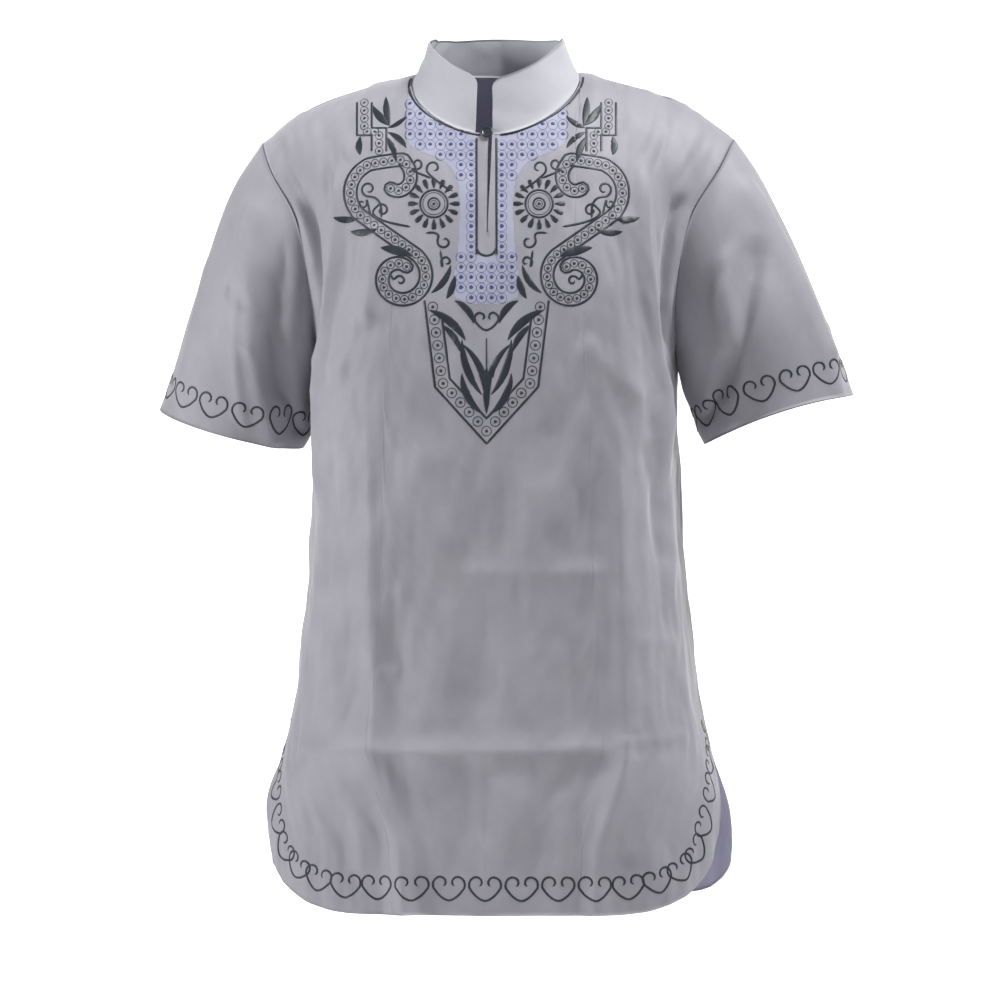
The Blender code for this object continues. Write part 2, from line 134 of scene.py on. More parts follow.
# The torso's sections from the hem up to the underarm
Section = namedtuple("Section", "z half_width front back squareness")
SECTIONS = (
    Section(-0.780, 0.218, 0.144, 0.147, 2.5),
    Section(-0.722, 0.222, 0.143, 0.145, 2.5),
    Section(-0.681, 0.219, 0.142, 0.142, 2.5),
    Section(-0.629, 0.202, 0.139, 0.136, 2.6),
    Section(-0.567, 0.188, 0.136, 0.130, 2.7),
    Section(-0.454, 0.176, 0.134, 0.124, 2.9),
    Section(-0.342, 0.170, 0.136, 0.122, 3.1),
    Section(-0.250, 0.168, 0.136, 0.120, 3.2),
)

# The shoulder line from the centre out, as the front and the back reach it
Ridge = namedtuple("Ridge", "x front_z back_z")
SHOULDER_RIDGE = (
    Ridge(0.0000, 0.0270, 0.0450),
    Ridge(0.0400, 0.0240, 0.0330),
    Ridge(NECK_HALF, NECK_SIDE_Z, NECK_SIDE_Z),
    Ridge(0.1330, 0.0005, 0.0005),
    Ridge(0.1750, -0.0145, -0.0145),
    Ridge(0.2020, -0.0320, -0.0320),
    Ridge(SHOULDER_HALF, ARMHOLE_TOP_Z, ARMHOLE_TOP_Z),
)

# How far out the armhole's edge lies at each height
ArmholeWidth = namedtuple("ArmholeWidth", "z x")
ARMHOLE = (
    ArmholeWidth(UNDERARM_Z, 0.168),
    ArmholeWidth(-0.205, 0.170),
    ArmholeWidth(-0.160, 0.176),
    ArmholeWidth(-0.120, 0.187),
    ArmholeWidth(-0.080, 0.2105),
    ArmholeWidth(ARMHOLE_TOP_Z, SHOULDER_HALF),
)

# The cuffs: their outermost and innermost points, half their depth and how their edge dips and bows
Cuff = namedtuple("Cuff", "side outer_x outer_z inner_x inner_z half_depth front_drop bow")
CUFFS = (
    Cuff("left", 0.323, -0.302, 0.187, -0.339, 0.060, 0.009, 0.000),
    Cuff("right", 0.336, -0.291, 0.198, -0.336, 0.060, 0.001, 0.007),
)

# The collar by degrees from the centre front: its height, and how far its top leans inward and back
Band = namedtuple("Band", "angle rise inward backward")
COLLAR = (
    Band(0.0, 0.053, 0.000, 0.003),
    Band(30.0, 0.056, 0.004, 0.010),
    Band(60.0, 0.052, 0.011, 0.014),
    Band(90.0, 0.035, 0.016, 0.008),
    Band(135.0, 0.034, 0.010, 0.000),
    Band(180.0, 0.036, 0.000, -0.006),
)
COLLAR_ENDS = (-0.0145, 0.0020)
COLLAR_CORNER = 0.012
COLLAR_IN = 0.0009
COLLAR_UP = 0.0004

# The collar's finer form: how much of a corner's drop is cut away, the degrees from its ends at which
# columns are added, and the pulls in its cloth: their strength, how fast they change with the turn and
# the height, and how soon they set in above the base
COLLAR_DROP = 0.75
COLLAR_NEAR = (0.3, 0.8, 1.5)
COLLAR_PULL = 0.015
PULL_TURN, PULL_LEAN, PULL_UP, PULL_SEED = 0.045, 1.6, 1.2, 3.0
PULL_START = 3.0

# Largest folds of the panels. x and z are seen from the front; height is out of the cloth.
Fold = namedtuple("Fold", "panel x_top z_top x_end z_end half_width height")
FOLDS = (
    Fold("front", -0.158, -0.062, -0.163, -0.400, 0.013, 0.0055),
    Fold("front", 0.158, -0.062, 0.163, -0.380, 0.013, 0.0050),
    Fold("front", -0.176, -0.100, -0.167, -0.260, 0.012, -0.0090),
    Fold("front", 0.176, -0.100, 0.167, -0.250, 0.012, -0.0080),
    Fold("front", -0.117, -0.330, -0.103, -0.772, 0.012, 0.0045),
    Fold("front", -0.092, -0.420, -0.080, -0.772, 0.016, -0.0030),
    Fold("front", 0.128, -0.330, 0.138, -0.772, 0.012, 0.0040),
    Fold("front", 0.104, -0.480, 0.112, -0.772, 0.016, -0.0030),
    Fold("front", -0.040, -0.390, -0.048, -0.610, 0.014, 0.0020),
    Fold("front", -0.170, -0.624, 0.150, -0.622, 0.014, 0.0026),
    Fold("front", -0.125, -0.130, -0.122, -0.230, 0.014, 0.0030),
    Fold("front", 0.150, -0.300, 0.165, -0.520, 0.014, -0.0040),
    Fold("back", -0.130, -0.060, -0.118, -0.772, 0.016, 0.0050),
    Fold("back", 0.130, -0.060, 0.122, -0.772, 0.016, 0.0050),
    Fold("back", -0.055, -0.260, -0.070, -0.772, 0.020, -0.0040),
    Fold("back", 0.045, -0.240, 0.060, -0.772, 0.020, -0.0045),
    Fold("back", 0.000, -0.180, -0.004, -0.772, 0.018, 0.0040),
    Fold("back", -0.160, -0.620, 0.160, -0.624, 0.014, 0.0024),
)

# Largest folds of the sleeves. around is 0 at the top of the arm, 0.25 in front, 0.5 underneath.
SleeveFold = namedtuple("SleeveFold", "side around_top down_top around_end down_end half_width height")
SLEEVE_FOLDS = (
    SleeveFold("left", 0.13, 0.05, 0.36, 0.95, 0.012, 0.0050),
    SleeveFold("left", 0.22, 0.02, 0.42, 0.80, 0.014, -0.0060),
    SleeveFold("left", 0.16, 0.45, 0.27, 0.42, 0.010, -0.0035),
    SleeveFold("left", 0.80, 0.05, 0.66, 0.90, 0.016, -0.0055),
    SleeveFold("right", 0.10, 0.05, 0.10, 0.95, 0.012, 0.0045),
    SleeveFold("right", 0.13, 0.30, 0.40, 0.78, 0.013, -0.0060),
    SleeveFold("right", 0.24, 0.25, 0.34, 0.95, 0.012, 0.0040),
    SleeveFold("right", 0.80, 0.05, 0.68, 0.90, 0.016, -0.0055),
)

# Which way the sleeve leaves the armhole and reaches the cuff, over the arm, under it and beside it
Way = namedtuple("Way", "place direction")
SLEEVE_LEAVE = (
    Way("top", (0.58, 0.0, -0.81)),
    Way("under", (0.05, 0.0, -1.00)),
    Way("beside", (0.62, 0.0, -0.68)),
)
SLEEVE_ARRIVE = (
    Way("top", (0.35, 0.0, -0.94)),
    Way("under", (0.42, 0.0, -0.91)),
    Way("beside", (0.30, 0.0, -0.95)),
)
SLEEVE_BULGE = 0.40
SLEEVE_TUCK = 0.02

# Finer creases of the panels; roundness 1 is a sharp ridge and 2 a soft one
Crease = namedtuple("Crease", "panel x_top z_top x_end z_end half_width height roundness")
CREASES = (
    Crease("front", -0.1120, -0.300, -0.0990, -0.772, 0.0098, 0.0053, 1.0),
    Crease("front", 0.1215, -0.310, 0.1340, -0.772, 0.0098, 0.0046, 1.0),
    Crease("front", -0.0300, -0.390, -0.0400, -0.640, 0.0075, 0.0019, 1.2),
    Crease("front", -0.1850, -0.6210, -0.020, -0.6240, 0.0080, 0.0028, 1.1),
    Crease("front", -0.0350, -0.6240, 0.120, -0.6180, 0.0080, 0.0024, 1.1),
    Crease("front", 0.1100, -0.6140, 0.185, -0.6080, 0.0075, 0.0023, 1.1),
    Crease("front", -0.0360, -0.4570, 0.120, -0.4550, 0.0092, 0.0016, 1.4),
    Crease("front", 0.1250, -0.5200, 0.176, -0.5220, 0.0069, 0.0018, 1.2),
    Crease("front", -0.1590, -0.070, -0.1620, -0.375, 0.0080, 0.0046, 1.0),
    Crease("front", 0.1600, -0.070, 0.1640, -0.360, 0.0080, 0.0042, 1.0),
    Crease("front", 0.1340, -0.600, 0.1400, -0.6280, 0.0069, -0.0024, 1.6),
    Crease("front", -0.1010, -0.548, -0.0800, -0.5500, 0.0057, 0.0016, 1.4),
    Crease("front", -0.0950, -0.476, -0.0750, -0.4780, 0.0057, 0.0014, 1.4),
    Crease("front", -0.1630, -0.255, -0.1330, -0.2720, 0.0080, 0.0024, 1.4),
    Crease("front", -0.1540, -0.070, -0.1240, -0.0440, 0.0092, 0.0024, 1.5),
    Crease("front", -0.1180, -0.130, -0.1190, -0.2300, 0.0103, 0.0028, 1.5),
    Crease("front", 0.1300, -0.130, 0.1560, -0.1340, 0.0069, 0.0018, 1.5),
    Crease("front", -0.0800, -0.300, -0.1200, -0.4300, 0.0172, -0.0028, 2.0),
    Crease("front", -0.0550, -0.330, -0.0900, -0.5200, 0.0161, 0.0023, 2.0),
    Crease("front", 0.0600, -0.310, 0.1000, -0.4600, 0.0172, -0.0028, 2.0),
    Crease("front", 0.0380, -0.350, 0.0620, -0.5600, 0.0161, 0.0023, 2.0),
    Crease("front", 0.0900, -0.240, 0.1450, -0.3000, 0.0149, 0.0028, 1.8),
    Crease("front", -0.0050, -0.400, 0.0060, -0.6000, 0.0184, -0.0021, 2.0),
    Crease("front", 0.0780, -0.640, 0.0700, -0.7720, 0.0138, -0.0021, 2.0),
    Crease("front", 0.0200, -0.640, 0.0250, -0.7720, 0.0149, 0.0018, 2.0),
    Crease("front", -0.0450, -0.650, -0.0500, -0.7720, 0.0149, -0.0019, 2.0),
    Crease("front", -0.1450, -0.640, -0.1520, -0.7400, 0.0138, 0.0028, 1.8),
    Crease("front", 0.1650, -0.620, 0.1720, -0.7300, 0.0138, 0.0028, 1.8),
    Crease("front", 0.1450, -0.330, 0.1650, -0.4600, 0.0126, -0.0032, 1.8),
    Crease("front", -0.1420, -0.330, -0.1560, -0.4800, 0.0138, -0.0032, 1.8),
    Crease("back", -0.1220, -0.150, -0.1130, -0.7720, 0.0103, 0.0042, 1.0),
    Crease("back", 0.1260, -0.150, 0.1200, -0.7720, 0.0103, 0.0046, 1.0),
    Crease("back", 0.0000, -0.100, -0.0030, -0.7720, 0.0098, 0.0032, 1.1),
    Crease("back", -0.1750, -0.6180, -0.010, -0.6230, 0.0080, 0.0026, 1.1),
    Crease("back", 0.0050, -0.6230, 0.178, -0.6200, 0.0080, 0.0023, 1.1),
    Crease("back", -0.0400, -0.4500, 0.110, -0.4560, 0.0092, 0.0016, 1.4),
    Crease("back", -0.1450, -0.080, -0.0700, -0.1500, 0.0172, 0.0039, 1.8),
    Crease("back", 0.1450, -0.080, 0.0650, -0.1600, 0.0172, 0.0035, 1.8),
    Crease("back", -0.0700, -0.220, -0.1300, -0.3000, 0.0161, -0.0035, 1.8),
    Crease("back", 0.0750, -0.230, 0.1320, -0.3200, 0.0161, -0.0039, 1.8),
    Crease("back", -0.0300, -0.300, -0.0420, -0.6000, 0.0184, 0.0032, 2.0),
    Crease("back", 0.0550, -0.280, 0.0400, -0.5600, 0.0184, 0.0032, 2.0),
    Crease("back", -0.0800, -0.640, -0.0880, -0.7720, 0.0161, -0.0024, 2.0),
    Crease("back", 0.0700, -0.640, 0.0760, -0.7720, 0.0161, -0.0024, 2.0),
)

SleeveCrease = namedtuple(
    "SleeveCrease", "side around_top down_top around_end down_end half_width height roundness"
)
SLEEVE_CREASES = (
    SleeveCrease("left", 0.17, 0.62, 0.27, 0.55, 0.0069, 0.0032, 1.2),
    SleeveCrease("left", 0.12, 0.10, 0.30, 0.98, 0.0092, 0.0039, 1.1),
    SleeveCrease("left", 0.24, 0.20, 0.36, 0.70, 0.0103, -0.0035, 1.6),
    SleeveCrease("left", 0.05, 0.40, 0.12, 0.95, 0.0115, 0.0024, 1.6),
    SleeveCrease("left", 0.78, 0.10, 0.70, 0.90, 0.0115, 0.0035, 1.5),
    SleeveCrease("left", 0.90, 0.30, 0.86, 0.95, 0.0115, 0.0028, 1.6),
    SleeveCrease("right", 0.08, 0.10, 0.08, 0.98, 0.0092, 0.0039, 1.1),
    SleeveCrease("right", 0.14, 0.35, 0.36, 0.80, 0.0092, -0.0039, 1.4),
    SleeveCrease("right", 0.20, 0.20, 0.30, 0.60, 0.0115, 0.0032, 1.5),
    SleeveCrease("right", 0.03, 0.72, 0.09, 0.86, 0.0069, 0.0021, 1.3),
    SleeveCrease("right", 0.78, 0.10, 0.72, 0.90, 0.0115, 0.0035, 1.5),
    SleeveCrease("right", 0.91, 0.25, 0.88, 0.95, 0.0115, 0.0028, 1.6),
)
CREASE_REACH = 3.4
CREASE_FADE = 0.16

# Unevenness of the whole cloth, in waves across and down it
Ripple = namedtuple("Ripple", "height across down seed")
RIPPLES = (Ripple(0.0034, 9.0, 14.0, 0.0), Ripple(0.0034 * 0.35, 9.0 * 2.7, 14.0 * 2.4, 9.0))
SLEEVE_RIPPLE = Ripple(0.0034, 0.9, 3.0, 0.0)
RIPPLE_SEED = {"front": 2.0, "back": 7.0, "left": 12.0, "right": 17.0}

# Which way each panel faces, and roughly how its outside leans aside and up
FACES = {"front": -1.0, "back": 1.0}
OUT_ASIDE, OUT_UP = 0.4, 0.2
NECK_LOW_Z = {"front": FRONT_NECK_Z, "back": BACK_NECK_Z}


@functools.lru_cache(maxsize=200000)
def smooth(rows, name, at):
    """A column of a table at a place between its rows, with soft bends. Rows rise in their first column."""
    keys = [row[0] for row in rows]
    values = [getattr(row, name) for row in rows]
    at = min(max(at, keys[0]), keys[-1])
    last = len(rows) - 1
    k = next(i for i in range(last) if at <= keys[i + 1])

    def slope(i):
        low, high = max(i - 1, 0), min(i + 1, last)
        return (values[high] - values[low]) / (keys[high] - keys[low])

    span = keys[k + 1] - keys[k]
    f = (at - keys[k]) / span
    return (
        (2 * f**3 - 3 * f**2 + 1) * values[k]
        + (f**3 - 2 * f**2 + f) * span * slope(k)
        + (3 * f**2 - 2 * f**3) * values[k + 1]
        + (f**3 - f**2) * span * slope(k + 1)
    )


def ease(value):
    """A soft rise from 0 to 1."""
    value = min(max(value, 0.0), 1.0)
    return value * value * (3 - 2 * value)


def ring_point(panel, across, z):
    """A point of the torso below the underarm. across is 0 at the centre and 1 at the side seam."""
    width = smooth(SECTIONS, "half_width", z)
    depth = smooth(SECTIONS, panel, z)
    power = smooth(SECTIONS, "squareness", z)
    angle = across * math.pi / 2
    along, out = math.sin(angle), math.cos(angle)
    size = (abs(along) ** power + abs(out) ** power) ** (1 / power)
    return Vector((width * along / size, FACES[panel] * depth * out / size, z))


@functools.lru_cache(maxsize=20000)
def across_at(x, z):
    """The across value of a point seen from the front at x."""
    z = min(z, UNDERARM_Z)
    power = smooth(SECTIONS, "squareness", z)
    share = min(abs(x) / smooth(SECTIONS, "half_width", z), WIDEST_SHARE)
    return math.copysign(math.atan2(share, (1 - share**power) ** (1 / power)) * 2 / math.pi, x)


def side_y(panel):
    """How far a panel stands off from the other one at their seams."""
    return FACES[panel] * SEAM / 2


def ridge_point(panel, across):
    """A point of the line along the top of the shoulders."""
    x = across * SHOULDER_HALF
    return Vector((x, RIDGE_Y + side_y(panel), smooth(SHOULDER_RIDGE, panel + "_z", x)))


def centre_point(panel, down):
    """The centre line from the shoulder line to the underarm line."""
    angle = down * math.pi / 2
    top = ridge_point(panel, 0.0)
    low = chest_point(panel, 0.0)
    power = CENTRE_POWER[panel]
    return Vector((
        0.0,
        top.y + (low.y - top.y) * math.sin(angle) ** power,
        top.z + (low.z - top.z) * (1 - max(math.cos(angle), 0.0) ** power),
    ))


def armhole_point(panel, down):
    """The armhole's edge from the shoulder's end to the underarm."""
    angle = down * math.pi
    swing = (1 - math.cos(angle)) / 2
    depth = ARMHOLE_FRONT if panel == "front" else ARMHOLE_BACK
    z = ARMHOLE_TOP_Z + (UNDERARM_Z - ARMHOLE_TOP_Z) * swing
    y = RIDGE_Y + (UNDERARM_Y - RIDGE_Y) * swing + FACES[panel] * depth * math.sin(angle)
    return Vector((smooth(ARMHOLE, "x", z), y + side_y(panel), z))


def chest_point(panel, across):
    """The line from the centre out to the underarm, which dips below it."""
    z = UNDERARM_Z - UNDERARM_DIP * math.sqrt(max(1 - across**2, 0.0))
    point = ring_point(panel, across, z)
    point.y += side_y(panel) + UNDERARM_Y * across**6
    return point


def upper_point(panel, across, down):
    """The panel above the underarm line, spanned between its four edges."""
    edge, fade = across, 1 - across
    top, rest = 1 - down, down
    return (
        ridge_point(panel, across) * top
        + chest_point(panel, across) * rest
        + centre_point(panel, down) * fade
        + armhole_point(panel, down) * edge
        - ridge_point(panel, 0.0) * (fade * top)
        - ridge_point(panel, 1.0) * (edge * top)
        - chest_point(panel, 0.0) * (fade * rest)
        - chest_point(panel, 1.0) * (edge * rest)
    )


def hem_z(across):
    """The hem's height, level in the middle and rounded up to the vents."""
    share = max(across - CORNER_START, 0.0) / (1 - CORNER_START)
    return HEM_Z + CORNER_RISE * (1 - math.sqrt(max(1 - share**2, 0.0)))


def lower_point(panel, across, down):
    """The panel from the underarm line to the hem, with its half of the vent cut away."""
    start = chest_point(panel, across)
    z = start.z + (hem_z(across) - start.z) * down
    opening = VENT_OPEN[panel] * ease((VENT_TOP_Z - z) / VENT_SPREAD)
    point = ring_point(panel, across * (1 - opening), z)
    point.y += side_y(panel) + UNDERARM_Y * across**6
    return point


def neck_cut(panel, across):
    """How far down a column starts: the neckline near the centre, the shoulder seam beyond it."""
    share = across * SHOULDER_HALF / NECK_HALF
    if share >= 1:
        return 0.0
    bow = (1 - share**NECK_SQUARENESS) ** (1 / NECK_SQUARENESS)
    wanted = NECK_SIDE_Z + (NECK_LOW_Z[panel] - NECK_SIDE_Z) * bow
    high, low = 0.0, NECK_SEARCH
    for _ in range(NECK_HALVINGS):
        middle = (high + low) / 2
        if upper_point(panel, across, middle).z > wanted:
            high = middle
        else:
            low = middle
    return high


def along_and_off(here, a, b):
    """How far along the line from a to b a place lies, as a share, and its distance from that line."""
    along = min(max((here - a).dot(b - a) / (b - a).length_squared, 0.0), 1.0)
    return along, (here - a - (b - a) * along).length


def spread_place(x, z):
    """A place of a panel spread flat, from its x and z as seen from the front."""
    return Vector((across_at(x, z) * HALF_ARC, z))


def panel_line(here, row):
    """Where a place of a panel lies beside a fold or crease."""
    return along_and_off(here, spread_place(row.x_top, row.z_top), spread_place(row.x_end, row.z_end))


def fold_height(panel, here):
    """How far the folds lift a place of the panel out of its plain form."""
    total = 0.0
    for fold in FOLDS:
        if fold.panel != panel or here.y > fold.z_top + FOLD_ABOVE:
            continue
        along, off = panel_line(here, fold)
        to_hem = fold.z_end <= HEM_Z
        rise = ease(along / (FOLD_FADE_TO_HEM if to_hem else FOLD_FADE))
        fall = 1.0 if to_hem else ease((1 - along) / FOLD_FADE)
        total += fold.height * rise * fall * math.exp(-((off / fold.half_width) ** 2))
    return total


def crease_height(panel, here):
    """The finer creases: a sharp peak or trough with soft flanks, faded out at both ends."""
    total = 0.0
    for crease in CREASES:
        if crease.panel != panel:
            continue
        along, off = panel_line(here, crease)
        if off > CREASE_REACH * crease.half_width:
            continue
        fade = ease(along / CREASE_FADE)
        if crease.z_end > HEM_Z:
            fade *= ease((1 - along) / CREASE_FADE)
        total += crease.height * fade * math.exp(-((off / crease.half_width) ** crease.roundness))
    return total


def ripple_height(panel, across, z):
    """The cloth's unevenness away from its creases."""
    return sum(
        ripple.height
        * noise.noise(Vector((across * ripple.across, z * ripple.down, RIPPLE_SEED[panel] + ripple.seed)))
        for ripple in RIPPLES
    )


def panel_column(panel, across):
    """One column of a panel from its top edge to its hem, for a signed across."""
    reach, sign = abs(across), math.copysign(1.0, across)
    start = neck_cut(panel, reach)
    plain = []
    for i in range(UPPER_ROWS):
        down = i / UPPER_ROWS
        if down < ROWS_LEVEL_FROM:
            down = start + (ROWS_LEVEL_FROM - start) * down / ROWS_LEVEL_FROM
        plain.append(upper_point(panel, reach, down))
    plain += [lower_point(panel, reach, i / LOWER_ROWS) for i in range(LOWER_ROWS + 1)]
    for point in plain:
        point.x *= sign
    return plain


def column_stops():
    """Where the columns lie from the centre to the side, closer together towards the neckline's end."""
    neck_edge = NECK_HALF / SHOULDER_HALF
    last = math.radians(NECK_LAST_STEP)
    stops = [neck_edge * math.sin(last * i / NECK_STEPS) for i in range(NECK_STEPS + 1)]
    return stops + [neck_edge + (1 - neck_edge) * (i / SHOULDER_STEPS) for i in range(SHOULDER_STEPS + 1)]


def panel_grid(panel):
    """Rows of points from the left side to the right, with two columns beside the centre line."""
    stops = column_stops()
    signed = [-stop for stop in reversed(stops[1:])] + [-0.0, 0.0] + stops[1:]
    columns = [panel_column(panel, across) for across in signed]
    middle = len(stops) - 1
    rows = [list(points) for points in zip(*columns)]
    for row in rows:
        z = row[middle].z
        share = ease((z - SLIT_END_Z) / SLIT_TAPER)
        half = SLIT_HALF_END + (SLIT_HALF_TOP - SLIT_HALF_END) * share
        row[middle].x -= half
        row[middle + 1].x += half
    lift_folds(panel, rows, signed)
    return rows, middle


def lift_folds(panel, rows, signed):
    """Moves each inner point out along the cloth's normal by the height of its folds and creases."""
    plain = [[point.copy() for point in row] for row in rows]
    last_row, last_column = len(rows) - 1, len(rows[0]) - 1
    for i in range(1, last_row + 1):
        for j in range(1, last_column):
            z = plain[i][j].z
            here = Vector((signed[j] * HALF_ARC, z))
            height = fold_height(panel, here) + crease_height(panel, here)
            height += ripple_height(panel, signed[j], z)
            side = plain[i][min(j + 1, last_column)] - plain[i][max(j - 1, 0)]
            down = plain[min(i + 1, last_row)][j] - plain[i - 1][j]
            normal = down.cross(side).normalized() * -FACES[panel]
            edge = min(1.0, (last_column - j) / 2, j / 2)
            rows[i][j] += normal * (height * edge)


def sleeve_place(around, down):
    """A place of a sleeve spread flat."""
    return Vector((around * SLEEVE_GIRTH, down * SLEEVE_LENGTH))


def sleeve_line(here, row):
    """Where a place of a sleeve lies beside a fold or crease."""
    start = sleeve_place(row.around_top, row.down_top)
    return along_and_off(here, start, sleeve_place(row.around_end, row.down_end))


def sleeve_lift(side, around, down):
    """How far folds and creases lift a point of the sleeve, faded out towards the armhole's seam."""
    here = sleeve_place(around, down)
    total = 0.0
    for fold in SLEEVE_FOLDS:
        if fold.side == side:
            along, off = sleeve_line(here, fold)
            total += fold.height * math.exp(-((off / fold.half_width) ** 2)) * ease(along / FOLD_FADE)
    for crease in SLEEVE_CREASES:
        if crease.side == side:
            along, off = sleeve_line(here, crease)
            fade = ease(along / CREASE_FADE) * ease((1 - along) / CREASE_FADE)
            total += crease.height * fade * math.exp(-((off / crease.half_width) ** crease.roundness))
    turn = around * 2 * math.pi
    wide, tall = SLEEVE_RIPPLE.across, SLEEVE_RIPPLE.down
    place = Vector((math.cos(turn) * wide, math.sin(turn) * wide, down * tall + RIPPLE_SEED[side]))
    return (total + SLEEVE_RIPPLE.height * noise.noise(place)) * ease(down / SLEEVE_FOLD_START)


def sleeve_point(cuff, around, down):
    """A point of the sleeve's inner face: along an easy curve from the armhole to the cuff."""
    angle = around * 2 * math.pi
    panel, reach = ("front", around * 2) if around <= 0.5 else ("back", 2 - around * 2)
    start = armhole_point(panel, reach)
    start.x += SEAM + (2 * WALL + SEAM) * math.sin(angle / 2) ** (2 * SLEEVE_CLEAR_POWER)
    middle_x, middle_z = (cuff.outer_x + cuff.inner_x) / 2, (cuff.outer_z + cuff.inner_z) / 2
    half = Vector((cuff.outer_x - middle_x, 0.0, cuff.outer_z - middle_z))
    end = Vector((middle_x, UNDERARM_Y, middle_z)) + half * math.cos(angle)
    end.y -= cuff.half_depth * math.sin(angle)
    end.z += cuff.bow * math.sin(angle) ** 2 - cuff.front_drop * math.sin(angle)
    top, under = max(math.cos(angle), 0.0) ** 2, max(-math.cos(angle), 0.0) ** 2
    facing = math.sin(angle)
    leave, arrive = (
        sum((Vector(row.direction) * share for row, share in zip(rows, (top, under, facing**2))), Vector())
        for rows in (SLEEVE_LEAVE, SLEEVE_ARRIVE)
    )
    leave.y = -SLEEVE_BULGE * math.copysign(facing**2, facing)
    arrive.y = SLEEVE_TUCK * facing**3
    pull = (end - start).length
    f = down
    return (
        start * (2 * f**3 - 3 * f**2 + 1)
        + leave * (pull * (f**3 - 2 * f**2 + f))
        + end * (3 * f**2 - 2 * f**3)
        + arrive * (pull * (f**3 - f**2))
    )


def neck_point(turn):
    """A point of the neckline. turn is an angle from the centre front, 180 at the centre back."""
    turn = abs(turn)
    panel = "front" if turn <= 90 else "back"
    share = math.sin(math.radians(turn))
    across = share * NECK_HALF / SHOULDER_HALF
    return upper_point(panel, across, neck_cut(panel, across))


def collar_point(turn, up):
    """A point of the collar's outer face, at a signed angle and a height from 0 to 1."""
    base = neck_point(turn)
    inward = Vector((-base.x, -base.y, 0.0)).normalized()
    base += inward * COLLAR_IN + Vector((0.0, 0.0, COLLAR_UP))
    rise = smooth(COLLAR, "rise", abs(turn))
    into = smooth(COLLAR, "inward", abs(turn))
    back = smooth(COLLAR, "backward", abs(turn))
    lean = up**COLLAR_LEAN_POWER
    point = base + Vector((-into * lean, back * lean, rise * up))
    point.x = math.copysign(point.x, turn)
    return point


def slit_top_frame():
    """Where the button lies: a point of the front's outer face beside the slit, and its normal."""
    def at(down):
        return upper_point("front", 0.0, down)

    stops = [k / BUTTON_STOPS for k in range(BUTTON_STOPS)]
    down = next(stop for stop in stops if at(stop).z < BUTTON_Z)
    slope = (at(down + SLOPE_STEP) - at(down - SLOPE_STEP)).normalized()
    normal = Vector((0.0, slope.z, -slope.y))
    return at(down) + normal * WALL, normal, slope


# Camera: far away and turned a little, as the photo was taken. UNIT is the size of one of its pixels.
UNIT = 0.00095
MM = 0.001
CAMERA_DISTANCE = 4.5
CAMERA_TURN = math.radians(4.5)
PICTURE = 1000
ORIGIN_ROW = 90
AXIS_COLUMN = 497.5
DESIGN_COLUMN = 486.5
SENSOR = 36.0

RIGHT = Vector((math.cos(CAMERA_TURN), math.sin(CAMERA_TURN), 0.0))
AHEAD = Vector((-math.sin(CAMERA_TURN), math.cos(CAMERA_TURN), 0.0))
UP = Vector((0.0, 0.0, 1.0))
TARGET = RIGHT * ((PICTURE / 2 - AXIS_COLUMN) * UNIT) + UP * ((ORIGIN_ROW - PICTURE / 2) * UNIT)
EYE = TARGET - AHEAD * CAMERA_DISTANCE

# Sewing and thread
STITCH = 0.00065
THREAD_HEIGHT = 0.00055
FINE_HEIGHT = 0.00028
RIDGE_DEPTH = 0.22
RIDGE_WIDTH = 0.10
GROUND_LIFT = 0.00012
LEAF_HEIGHT = THREAD_HEIGHT * 1.1
KNOT_HEIGHT = THREAD_HEIGHT * 1.2
RING_STEPS = 22
FLOWER_STEPS = 64
KNOT_STEPS = 10

# Rings of a knot as (share of its radius, share of its height)
KNOT_RINGS = ((1.0, 0.0), (0.8, 0.75))

# A narrowed line keeps at least this share of its height; at a line's ends its width starts from
# END_START and grows at END_RISE; a smooth curve is first laid out so many times denser than its stitches
THIN_HEIGHT = 0.35
END_START, END_RISE = 0.25, 0.8
DENSER = 4

# How far from a place its cloth is looked for
UNDER_REACH = 0.02


def node(tree, kind, **values):
    """A shader node with its properties and socket values set; a space in a socket's name is given as _."""
    made = tree.nodes.new(kind)
    for name, value in values.items():
        if hasattr(made, name):
            setattr(made, name, value)
        else:
            made.inputs[name.replace("_", " ")].default_value = value
    return made


def wire(tree, *links):
    """Links sockets, each pair given as (from node, its output, to node, its input)."""
    for source, output, target, entry in links:
        tree.links.new(source.outputs[output], target.inputs[entry])


def blank_material(name):
    """A new material, its node tree and its shader."""
    made = bpy.data.materials.new(name)
    made.use_nodes = True
    return made, made.node_tree, made.node_tree.nodes["Principled BSDF"]


